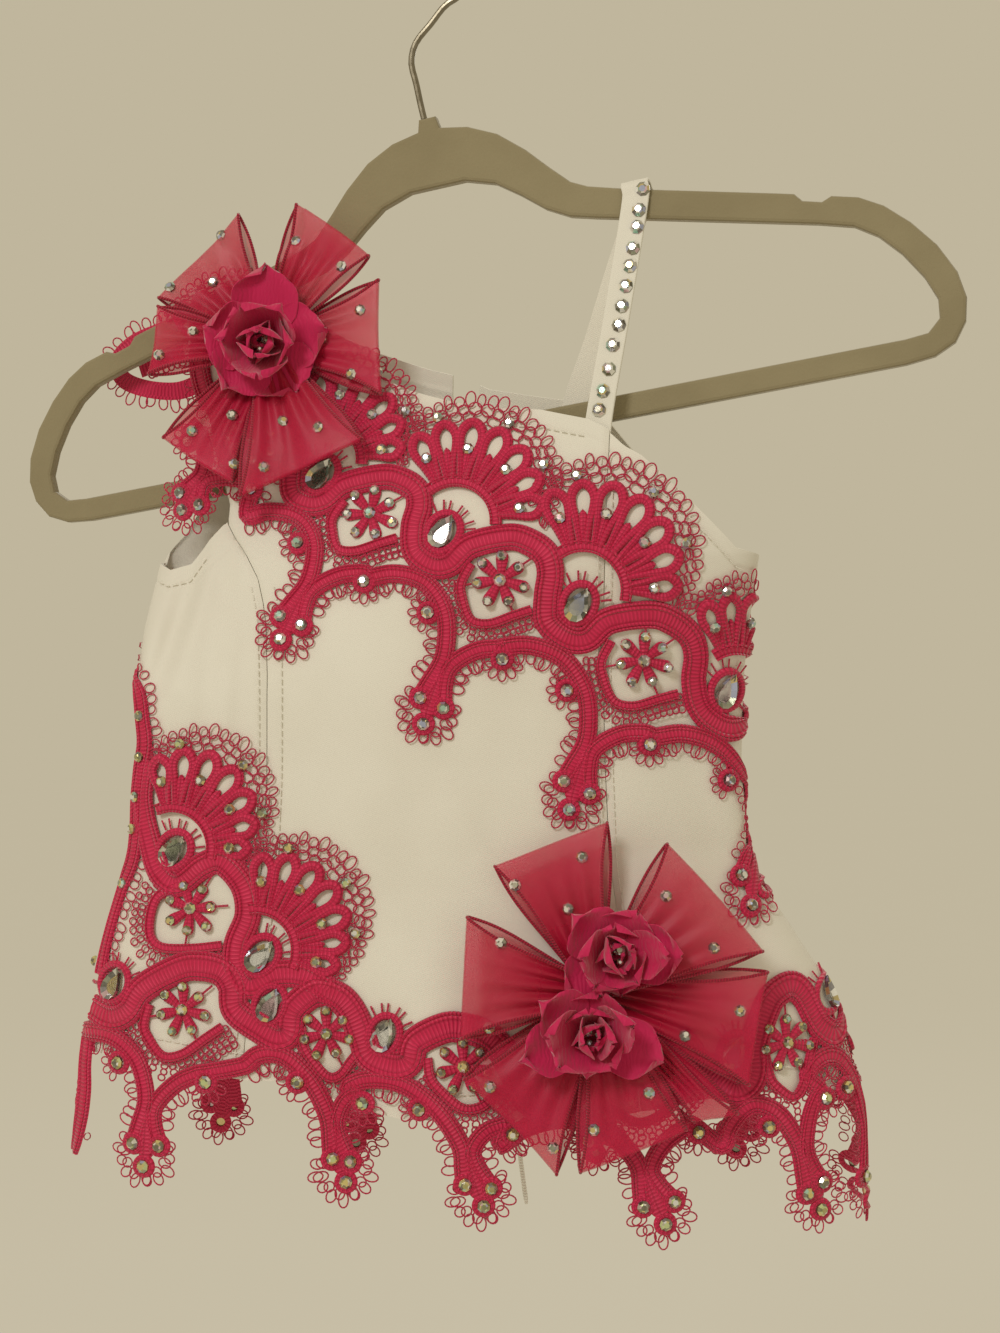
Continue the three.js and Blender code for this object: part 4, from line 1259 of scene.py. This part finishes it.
# Columns and rows of the frame where the pear stones and the drops of the lace lie.
DIAGONAL_PEARS = [(205, 395), (322, 474), (444, 532), (579, 603), (726, 690), (868, 776)]
DIAGONAL_DROPS = [(189, 503), (288, 628), (429, 710), (574, 795), (752, 890)]
DIAGONAL_PARTS = [
    ("flower", "cell", "short", "left", "right", "drop"), WHOLE, WHOLE, WHOLE,
    ("pear", "left", "drop"),
]
# Fans: centre column and row, inner radius in millimetres, middle direction, half spread, and
# reach of the ends.
DIAGONAL_FANS = [
    (214, 374, 11.5, 66, 60, 2.2), (325, 461, 12.4, 60, 60, 2.2), (455, 522, 13.2, 62, 60, 2.3),
    (583, 590, 13.7, 55, 61, 2.35), (733, 684, 11.4, 62, 58, 2.5),
]
SHOULDER_EDGE = [(199, 350), (200, 370), (204, 388), (212, 406)]


def seen_path(points):
    return [sighted(*point) for point in points]


def frame_repeats(pears, drops):
    spots = [sighted(*pear) for pear in pears]
    return [Repeat(spots[k], spots[k + 1], sighted(*drops[k])) for k in range(len(drops))]


def full_wave(repeats):
    return [spot for repeat in repeats for spot in repeat.path(WAVE)]


def lay_fans(lace, stones, fans):
    for column, row, inner, mid, spread, sides in fans:
        centre = sighted(column, row)
        fan(lace, stones, centre, inner, math.radians(mid), math.radians(spread), sides)


def link_lower_edges(lace, repeats):
    """The short bands that carry the lower edge from one repeat to the next."""
    for before, after in zip(repeats, repeats[1:]):
        link = before.path(LOWER_RIGHT[-3:]) + after.path(LOWER_LEFT[:3])
        lace.rimmed(link, 4.2, 1.3, 1.4)


def declare_lace(piece, node):
    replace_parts(piece, node)


def build_diagonal_lace(paint, crystal):
    lace, stones, draw = Lace(), [], random.Random(11)
    repeats = frame_repeats(DIAGONAL_PEARS, DIAGONAL_DROPS)
    lace.rimmed(full_wave(repeats)[2:4 - len(WAVE)], 6.8, 1.6)
    link_lower_edges(lace, repeats)
    for repeat, parts in zip(repeats, DIAGONAL_PARTS):
        lace_repeat(lace, stones, repeat, draw, parts)
    lay_fans(lace, stones, DIAGONAL_FANS)
    lace.rimmed(seen_path(SHOULDER_EDGE), 5.2)
    picots(lace, seen_path(SHOULDER_EDGE))
    keep = [place for place in stones if -112 < place[0][0] < 128]
    piece = lace.build("diagonal_lace", paint, "pink_lace")
    crystals = place_stones("diagonal_lace_crystals", keep, False, 3, crystal)
    declare_lace(piece, "lace_diagonal")


HEM_PEARS = [
    (115, 983), (270, 1005), (384, 1035), (545, 1072), (735, 1052), (827, 993), (899, 1003),
]
HEM_DROPS = [(146, 1152), (343, 1168), (480, 1193), (661, 1211), (816, 1195), (866, 1180)]
HEM_PARTS = [WHOLE] * 5 + [("flower", "cell", "left", "right", "drop")]
SIDE_PEARS = [(175, 850), (261, 956)]
SIDE_FANS = [(174, 847, 13.0, 50, 58, 1.95), (256, 951, 13.0, 38, 56, 2.1)]
SIDE_WAVE = [
    (147, 760), (143, 800), (150, 841), (160, 872), (178, 884), (203, 866), (222, 862), (243, 885),
    (248, 915), (237, 945), (237, 970), (250, 986), (275, 975), (300, 975), (320, 985), (338, 998),
]
SIDE_STRIP = [
    (135, 652), (139, 690), (143, 720), (145, 745), (141, 770), (138, 800), (137, 830), (133, 860),
    (124, 886), (115, 915), (107, 945), (101, 975),
]
SIDE_STRIP_STONES = [(142, 716), (142, 757), (138, 797), (135, 829), (126, 884), (99, 962)]
# The narrow drop at the left edge: heights, and how far inside the edge it hangs.
EDGE_DROP = [(-398, 3.0), (-407, 3.6), (-415, 4.4), (-424, 4.2), (-433, 2.6), (-439, 1.2)]
SIDE_CELL = [(180, 886), (157, 899), (150, 930), (160, 947), (191, 949), (222, 946)]


def build_hem_lace(paint, crystal):
    lace, stones, draw = Lace(), [], random.Random(12)
    repeats = frame_repeats(HEM_PEARS, HEM_DROPS)
    lace.rimmed(full_wave(repeats), 7.6, 1.6)
    link_lower_edges(lace, repeats)
    for repeat, parts in zip(repeats, HEM_PARTS):
        lace_repeat(lace, stones, repeat, draw, parts, math.radians(68), 0.94, 4)
    pear_setting(lace, stones, sighted(*HEM_PEARS[-2]), math.radians(80), 0.9)
    lay_fans(lace, stones, SIDE_FANS)
    for pear in SIDE_PEARS:
        pear_setting(lace, stones, sighted(*pear), math.radians(52))
    flower(lace, stones, sighted(191, 909), 1.0, 0.95)
    lace.band(seen_path(SIDE_CELL), 3.4, 1.3)
    net(lace, seen_path(SIDE_CELL), 7.5, 3, draw)
    lace.rimmed(seen_path(SIDE_WAVE), 6.8)
    lace.rimmed(seen_path(SIDE_STRIP), 4.4)
    picots(lace, seen_path(SIDE_STRIP[::-1]))
    edge_drop = [(float(section(z, LEFT)) + inside, z) for z, inside in EDGE_DROP]
    lace.rimmed(edge_drop, 6.0, 1.5, 1.8)
    picots(lace, edge_drop)
    stones += [(spot, STONE * 0.85) for spot in seen_path(SIDE_STRIP_STONES)]
    piece = lace.build("front_hem_lace", paint, "pink_lace")
    crystals = place_stones("front_hem_lace_crystals", stones, False, 4, crystal, HEM_GOLD)
    declare_lace(
        piece, "lace_hem_front",
    )


def build_back_hem_lace(paint, crystal):
    """The hidden half of the hem lace, in the same repeats."""
    halves = [
        ("right_back_hem_lace", "lace_hem_back_right", [150, 97, 44], 5),
        ("left_back_hem_lace", "lace_hem_back_left", [4, -46, -98], 6),
    ]
    for name, node, pears, seed in halves:
        lace, stones, draw = Lace(on_back=True), [], random.Random(seed)
        spots = [np.array((x, look_up(HEM, x) + 22)) for x in pears]
        wave = []
        for start, end in zip(spots, spots[1:]):
            repeat = Repeat(start, end, (start + end) / 2 - np.array((0, 50)))
            repeat.rise = np.array((0.0, 46.0))
            wave += repeat.path(WAVE)
            lace_repeat(lace, stones, repeat, draw, WHOLE, math.radians(90), 0.85)
        lace.rimmed(wave, 6.4)
        piece = lace.build(name, paint, "pink_lace")
        crystals = place_stones(f"{name}_crystals", stones, True, seed, crystal, HEM_GOLD)
        declare_lace(piece, node)


def build_back_shoulder_lace(paint):
    """The end of the lace that goes over the shoulder to the back."""
    lace = ShoulderLace(lift=1.6, on_back=True)
    rim = [
        (-58, -130), (-70, -131.5), (-84, -133.5), (-96, -136.5), (-106, -140.5), (-112, -147),
        (-109.5, -154), (-100, -158), (-88, -159), (-78, -155.5), (-68, -150), (-60, -144),
    ]
    lace.rimmed(rim, 4.2, 1.5, 1.4)
    picots(lace, rim)
    lace.band([(-60, -137), (-80, -143), (-103, -150.5)], 6.5)
    net(lace, [(-64, -143), (-80, -148), (-98, -154)], 5.0, 2, random.Random(8))
    piece = lace.build("back_shoulder_lace", paint, "pink_lace")
    declare_lace(piece, "lace_shoulder_back")


# ---- crystal strap ----
STRAP_WIDTH = 10
STRAP_WALL = 1.4
STRAP_PLACE, STRAP_HEIGHT = 72, 75.7
STRAP_CLEAR = 3.95
STRAP_STONES = [
    (643, 189), (639, 210), (637, 227), (633, 248), (630, 266), (626, 286), (622, 306), (619, 325),
    (613, 345), (609, 369), (603, 391), (599, 410),
]
STRAP_STONE = 5.2


def strap_path():
    round_arm = [(-3, 1), (0.6, 1), (2.4, 0.55), (2.7, 0), (2.4, -0.55), (0.6, -1), (-3, -1)]
    over = [
        hanger_point(STRAP_PLACE, STRAP_HEIGHT + up, side * STRAP_CLEAR) for up, side in round_arm
    ]
    front = [(70, -33, -190), (70.6, -32.6, -178), (76, -30.8, -147), (81.2, -28.6, -116)]
    back = [(79, -15, -120), (71, -9.6, -146), (64, -6.2, -166), (62.5, -6, -178)]
    return smooth_path(np.array([*front, *over, *back], float), 1.5)


def build_strap(paint, crystal):
    path = strap_path()
    lengths = run_lengths(path)
    outwards = unit(np.cross(ACROSS, unit(np.gradient(path, axis=0))))
    corners = [
        (-0.5, 0.0), (-0.49, 0.36), (-0.46, 0.48), (-0.38, 0.42), (0, 0.5), (0.38, 0.42),
        (0.46, 0.48), (0.49, 0.36), (0.5, 0.0), (0.49, -0.4), (0, -0.5), (-0.49, -0.4),
    ]
    grid = np.stack([
        path + ACROSS * (u * STRAP_WIDTH) + outwards * (v * STRAP_WALL) for u, v in corners
    ], axis=1)
    strap = Work()
    strap.add(grid, False, lengths)
    piece = strap.build("crystal_strap_band", paint, "white_knit")
    stones = Stones(21)
    for hit, way in sighted_hits(STRAP_STONES, [piece]):
        stones.round(hit, way, STRAP_STONE)
    crystals = stones.build("strap_crystals", crystal)
    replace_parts(piece, "crystal_strap")


# ---- ribbon bows with chiffon blooms ----
# Loops: outer corners a and b in x and z, the layer it lies in, and where it starts if that
# isn't at the pinched knot. Blooms: centre, half width and half height, and turn.
PINCH_RADIUS = 3.6
BOWS = [
    {
        "name": "upper_bow",
        "centre": (-49.5, -146.5),
        "slope": 0.3,
        "bloom_lift": 10.4,
        "loops": [
            ((-90, -129), (-61, -97.5), 0),
            ((-38.5, -96), (-11.5, -116.5), 1),
            ((-8, -125), (-6.5, -167.5), 0),
            ((-13, -184.5), (-56.5, -204.5), 1),
            ((-60, -199), (-85.5, -182.5), 0),
            ((-91.5, -159), (-89.5, -133), 1),
        ],
        "blooms": [((-50, -148.5), (17.5, 21), 0.4)],
        "stones": [
            (221, 235), (170, 287), (213, 282), (296, 241), (341, 266), (360, 310), (193, 332),
            (159, 355), (321, 338), (351, 374), (232, 415), (192, 431), (283, 421), (318, 427),
            (234, 464), (264, 467), (255, 495),
        ],
    },
    {
        "name": "lower_bow",
        "centre": (69, -376.5),
        "slope": 0.12,
        "bloom_lift": 11,
        "loops": [
            ((34, -334), (73, -319), 0),
            ((93.5, -326), (126, -362.5), 1),
            ((128, -370), (121, -408), 0),
            ((117, -417.5), (102, -420), 0, 15),
            ((99, -422), (63, -436), 1),
            ((55, -437.5), (23.5, -405.5), 0),
            ((22.5, -391.5), (24.5, -351), 1),
        ],
        "blooms": [((75, -362.5), (20, 12.4), 1.1), ((66.5, -389), (22, 12.4), 2.3)],
        "stones": [
            (582, 857), (515, 885), (568, 909), (501, 943), (666, 896), (714, 948), (740, 1011),
            (685, 1036), (724, 1084), (649, 1093), (594, 1130), (553, 1148), (489, 1028),
            (490, 1087),
        ],
    },
]
BOW_LIFT = 2.9
LAYER_PITCH = 1.4
PINCH_WIDTH = 8
RIBBON_RISE = 0.06
LOOP_REACH = 56
RIBBON_THICK = 0.25
RIBBON_EDGE = 1.15
NARROWEST_FLAT = 0.019
GATHERED_SHARE = 0.76
PETAL_THICK = 0.3
PLEATS = 4
BOW_STONE = 4.2


def bow_base(bow, x, z):
    lifted = on_cloth(x, z, BOW_LIFT)[..., 1]
    centre_x, centre_z = bow["centre"]
    plane = on_cloth(centre_x, centre_z, BOW_LIFT)[..., 1] + bow["slope"] * (z - centre_z)
    return np.minimum(np.minimum(plane, lifted), middle_plane(x, z) - SHOULDER_ROLL)


def build_loop(bow, number, paint, edges):
    a, b, level, *start = bow["loops"][number]
    start = start[0] if start else PINCH_RADIUS
    centre, a, b = np.array(bow["centre"]), np.array(a), np.array(b)
    reach = np.linalg.norm((a + b) / 2 - centre)
    along = ((a + b) / 2 - centre) / reach
    across = right_of(along)
    radius = np.linspace(start, reach - 1.2, 20)
    full = np.sin(np.pi * np.minimum(1, radius / LOOP_REACH))
    low = level * (2 * LAYER_PITCH + full + 0.2) + 0.6
    high = low + LAYER_PITCH + 1.2 * full + 1.2 * (radius / reach) ** 4
    half = (high[-1] - low[-1]) / 2
    turn = np.linspace(-np.pi / 2, np.pi / 2, 9)[1:-1]
    path_radius = np.concatenate([radius, radius[-1] + 1.2 * np.cos(turn), radius[::-1]])
    path_height = np.concatenate([low, low[-1] + half + half * np.sin(turn), high[::-1]])
    v = np.linspace(0, 1, 33)
    t = ((path_radius - start) / (reach - start))[:, None]
    inner = centre + along * start + np.outer(v - 0.5, across) * PINCH_WIDTH
    bulge = 0.8 * math.sin(number * 2.1)
    outer = a + np.outer(v, b - a) + np.outer(np.sin(np.pi * v), along) * bulge
    flare = np.clip(t, 0, None)[..., None] ** 0.82
    layer = np.concatenate([np.ones(len(radius)), -np.sin(turn), -np.ones(len(radius))])[:, None]
    eye = 1.7 * layer * np.sin(np.pi * np.clip(t, 0, 1) ** 1.5) * (2 * v - 1)
    spot = inner + (outer - inner) * flare + eye[..., None] * across
    gather = 1.5 * np.clip(1 - t, 0, 1) ** 1.2
    pleat = gather * (1 + np.cos(FULL_TURN * PLEATS * v + number))
    wave = np.maximum(0.7 * t * np.sin(FULL_TURN * v * 1.3 + number * 1.7), -0.4)
    height = (path_height + RIBBON_RISE * path_radius)[:, None] + pleat + wave
    y = bow_base(bow, spot[..., 0], spot[..., 1]) - height
    grid = np.stack([spot[..., 0], y, spot[..., 1]], axis=-1)
    ribbon = Work()
    ribbon.leaf(grid, RIBBON_THICK, np.clip(t[:, 0], 0, 1))
    for side in (0, -1):
        edges.tube(grid[:, side], RIBBON_EDGE, 7)
    name = f"{bow['name']}_loop_{number + 1}"
    piece = ribbon.build(f"{name}_ribbon", paint, "pink_organza")
    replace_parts(piece, name)
    width = max(np.linalg.norm(b - a) * MM, NARROWEST_FLAT)
    long = 2 * (reach - start + half) * MM
    round(GATHERED_SHARE * width * long, 6)
    return piece


def petal(work, root, way, length, width, tilt, cup, phase):
    """A cupped petal. tilt gives its rise above the face of the cloth at its root and tip."""
    v = np.linspace(0, 1, 13)[:, None]
    u = np.linspace(-1, 1, 15)[None, :]
    slope = np.radians(tilt[0] + (tilt[1] - tilt[0]) * v)
    step = length / 12
    forwards = np.cumsum(np.cos(slope), axis=0) * step
    upwards = np.cumsum(np.sin(slope), axis=0) * step
    beyond = np.where(v > 0.6, (v - 0.6) / 0.403, (0.6 - v) / 0.9)
    half = width / 2 * np.sqrt(1 - beyond ** 2) * (0.45 + 0.55 * np.minimum(1, v / 0.3))
    rounding = 1 - 0.12 * np.abs(u) ** 2 * v ** 2
    bend = cup * half * np.abs(u) ** 1.8 + 0.07 * width * v ** 2 * np.sin(1.5 * np.pi * u + phase)
    flat_way = np.array((way[0], 0.0, way[1]))
    side_way = np.array((-way[1], 0.0, way[0]))
    front_way = np.array((0.0, -1.0, 0.0))
    forward = forwards * rounding - np.sin(slope) * bend
    rise = upwards * rounding + np.cos(slope) * bend
    spread = u * half * (1 - 0.12 * cup * u * u)
    front = (
        np.asarray(root) + forward[..., None] * flat_way + rise[..., None] * front_way
        + spread[..., None] * side_way
    )
    work.leaf(front, PETAL_THICK)


def build_bloom(bow, number, paint, beads):
    at, radii, turn = bow["blooms"][number]
    size = math.sqrt(radii[0] * radii[1])
    draw = random.Random(31 + number + len(bow["name"]) * 3 + round(at[0]))
    base = float(bow_base(bow, np.array(float(at[0])), np.array(float(at[1])))) - bow["bloom_lift"]
    root = np.array((at[0], base + 0.8, at[1]))
    rings = [
        (5, 1.2, 1.3, (10, 34), 0.2), (5, 1.05, 1.15, (30, 66), 0.3), (4, 0.8, 0.95, (58, 98), 0.4),
        (3, 0.45, 0.62, (66, 108), 0.5),
    ]
    bloom = Work()
    for ring, (count, long, wide, tilt, cup) in enumerate(rings):
        for k in range(count):
            angle = turn + 0.5 * ring + FULL_TURN * (k + draw.uniform(-0.24, 0.24)) / count
            stretch = math.hypot(math.cos(angle) * radii[0], math.sin(angle) * radii[1])
            length = long * stretch * draw.uniform(0.9, 1.1)
            lean = draw.uniform(-13, 13)
            apart = 0.55 * ring * heading(angle)
            start = root + np.array((apart[0], -0.7 * ring, apart[1]))
            petal(bloom, start, heading(angle), length, wide * size * draw.uniform(0.9, 1.05),
                  (tilt[0] + lean / 2, tilt[1] + lean), cup, draw.uniform(0, 6))
    for k in range(3):
        x, z = 2.4 * heading(2.1 * k + turn)
        beads.round(root + np.array((x, -9.0, z)), (0, -1, 0), 4.2 if k == 0 else 2.4)
    name = f"{bow['name']}_bloom_{number + 1}"
    piece = bloom.build(f"{name}_petals", paint, "pink_chiffon")
    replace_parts(piece, name)


def build_bows(organza, edge_paint, chiffon, crystal):
    for bow in BOWS:
        edges = Work()
        stones = Stones(41)
        ribbons = [build_loop(bow, k, organza, edges) for k in range(len(bow["loops"]))]
        edges.build(f"{bow['name']}_rolled_edges", edge_paint, "pink_organza")
        for k in range(len(bow["blooms"])):
            build_bloom(bow, k, chiffon, stones)
        for hit, way in sighted_hits(bow["stones"], ribbons):
            stones.round(hit, way, BOW_STONE)
        stones.build(f"{bow['name']}_crystals", crystal)


# ---- lacing of the back opening ----
LACING_CORD = 1.8
LACING_TOP, LACING_STEP, LACING_CROSSINGS, LACING_HALF_WIDTH = -172, 28, 8, 10
LACING_OUT = 1.9
LACING_END_OUT = 3.8
# Gap between the crossed cords, and how far under the opening's end the lacing starts.
LACING_CLEAR = 0.6
LACING_DROP = 2
FREE_ENDS = {
    "cord_end_left": [
        (13.65, -398.5), (12, -402), (10, -408), (6, -416), (0, -425), (-7, -433), (-18, -446),
    ],
    "cord_end_right": [
        (34.35, -398.5), (35.5, -402), (37, -410), (39.5, -425), (42, -441), (44, -457), (46, -472),
    ],
}


def lacing_run(first_side):
    points = [on_cloth(BACK_OPENING_X + first_side * 1.2, LACING_TOP, LACING_OUT, True)]
    for k in range(LACING_CROSSINGS + 1):
        side = first_side if k % 2 == 0 else -first_side
        z = LACING_TOP - LACING_DROP - k * LACING_STEP
        points.append(on_cloth(BACK_OPENING_X + side * LACING_HALF_WIDTH, z, LACING_OUT, True))
        over = LACING_CORD + LACING_CLEAR if first_side > 0 else 0
        if k < LACING_CROSSINGS:
            points.append(on_cloth(BACK_OPENING_X, z - LACING_STEP / 2, LACING_OUT + over, True))
    return np.array(points)


def build_free_ends(paint):
    for name, route in FREE_ENDS.items():
        outs = [LACING_OUT] + [LACING_END_OUT] * (len(route) - 1)
        points = np.array([on_cloth(x, z, out, True) for (x, z), out in zip(route, outs)])
        path = smooth_path(points, 2.2)
        end = Work()
        end.tube(path, LACING_CORD, 12, 0.35)
        piece = end.build(f"{name}_lace", paint, "white_cord")
        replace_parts(piece, name)


def build_lacing(paint, thread_paint):
    for name, first_side in (("lacing_left", -1), ("lacing_right", 1)):
        run = Work()
        run.tube(smooth_path(lacing_run(first_side), 1.6), LACING_CORD, 10)
        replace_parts(run.build(f"{name}_run", paint, "white_cord"), name)
    loops = Work()
    for k in range(LACING_CROSSINGS + 1):
        z = LACING_TOP - LACING_DROP - k * LACING_STEP
        for side in (-1, 1):
            turn = np.linspace(0, math.pi, 9)
            x = BACK_OPENING_X + side * (6.5 + 4.6 * np.sin(turn))
            arch = on_cloth(x, z + 2.6 * np.cos(turn), 0.6 + 2.9 * np.sin(turn), True)
            loops.tube(smooth_path(arch, 0.8), 1.2, 7)
    loops.build("lacing_loops", thread_paint, "white_cord")


# ---- stage ----
BACKGROUND = (192, 182, 157)
FLOOR_OWN_SHARE = 0.2
LIT_SPOT = (0.03, 0, -0.27)


def stage_paint(name):
    """A pale floor that fades into the background: what it doesn't reflect it gives off itself."""
    colour = rgb(*BACKGROUND)
    paint = Paint(
        name, specular=0.0, emission_strength=1.0,
        emission_color=tuple(part * (1 - FLOOR_OWN_SHARE) for part in colour[:3]) + (1.0,),
    )
    low, high = ((FLOOR_OWN_SHARE * share,) * 3 + (1.0,) for share in (0.98, 1.02))
    paint.colour(paint.mix(paint.noise(3.0, 2.0), low, high))
    paint.rough(paint.noise(8.0) * 0.1 + 0.85)
    return paint.material


def build_stage():
    bpy.ops.object.select_all(action="DESELECT")
    bpy.ops.mesh.primitive_circle_add(
        vertices=64, radius=9, fill_type="NGON", location=(0.03, 0, -0.85),
    )
    floor = bpy.context.object
    floor.name = "floor"
    floor.data.materials.append(stage_paint("floor_finish"))
    world = bpy.data.worlds.new("studio")
    world.use_nodes = True
    inputs = world.node_tree.nodes["Background"].inputs
    inputs["Color"].default_value = rgb(*BACKGROUND)
    inputs["Strength"].default_value = 1.0
    bpy.context.scene.world = world
    bpy.context.scene.view_settings.view_transform = "Standard"
    lights = [
        ("window_light", (-0.85, -1.75, 0.85), 0.5, 18, (1.0, 0.985, 0.95)),
        ("fill_light", (1.2, -1.8, 0.1), 1.6, 1, (0.96, 0.98, 1.0)),
        ("back_light", (0.4, 1.5, 0.9), 1.4, 7, (1.0, 0.98, 0.94)),
    ]
    for name, place, size, power, colour in lights:
        data = bpy.data.lights.new(name, "AREA")
        data.size = size
        data.energy = power
        data.color = colour
        lamp = bpy.data.objects.new(name, data)
        bpy.context.collection.objects.link(lamp)
        lamp.location = place
        aim = Vector(LIT_SPOT) - lamp.location
        lamp.rotation_euler = aim.to_track_quat("-Z", "Y").to_euler()


def main():
    build_camera()
    cord = cord_paint()
    build_free_ends(cord)
    knit, pink, crystal = knit_paint(), lace_paint(), crystal_paint()
    build_panels(knit)
    build_stitching(knit)
    build_diagonal_lace(pink, crystal)
    build_hem_lace(pink, crystal)
    build_back_hem_lace(pink, crystal)
    build_back_shoulder_lace(pink)
    build_strap(knit, crystal)
    build_bows(organza_paint(), rolled_edge_paint(), chiffon_paint(), crystal)
    build_lacing(cord, cord)
    for node, paint in (("hanger_frame", velvet_paint()), ("hanger_hook", wire_paint())):
        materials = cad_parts[node].data.materials
        materials.clear()
        materials.append(paint)
    build_stage()


main()
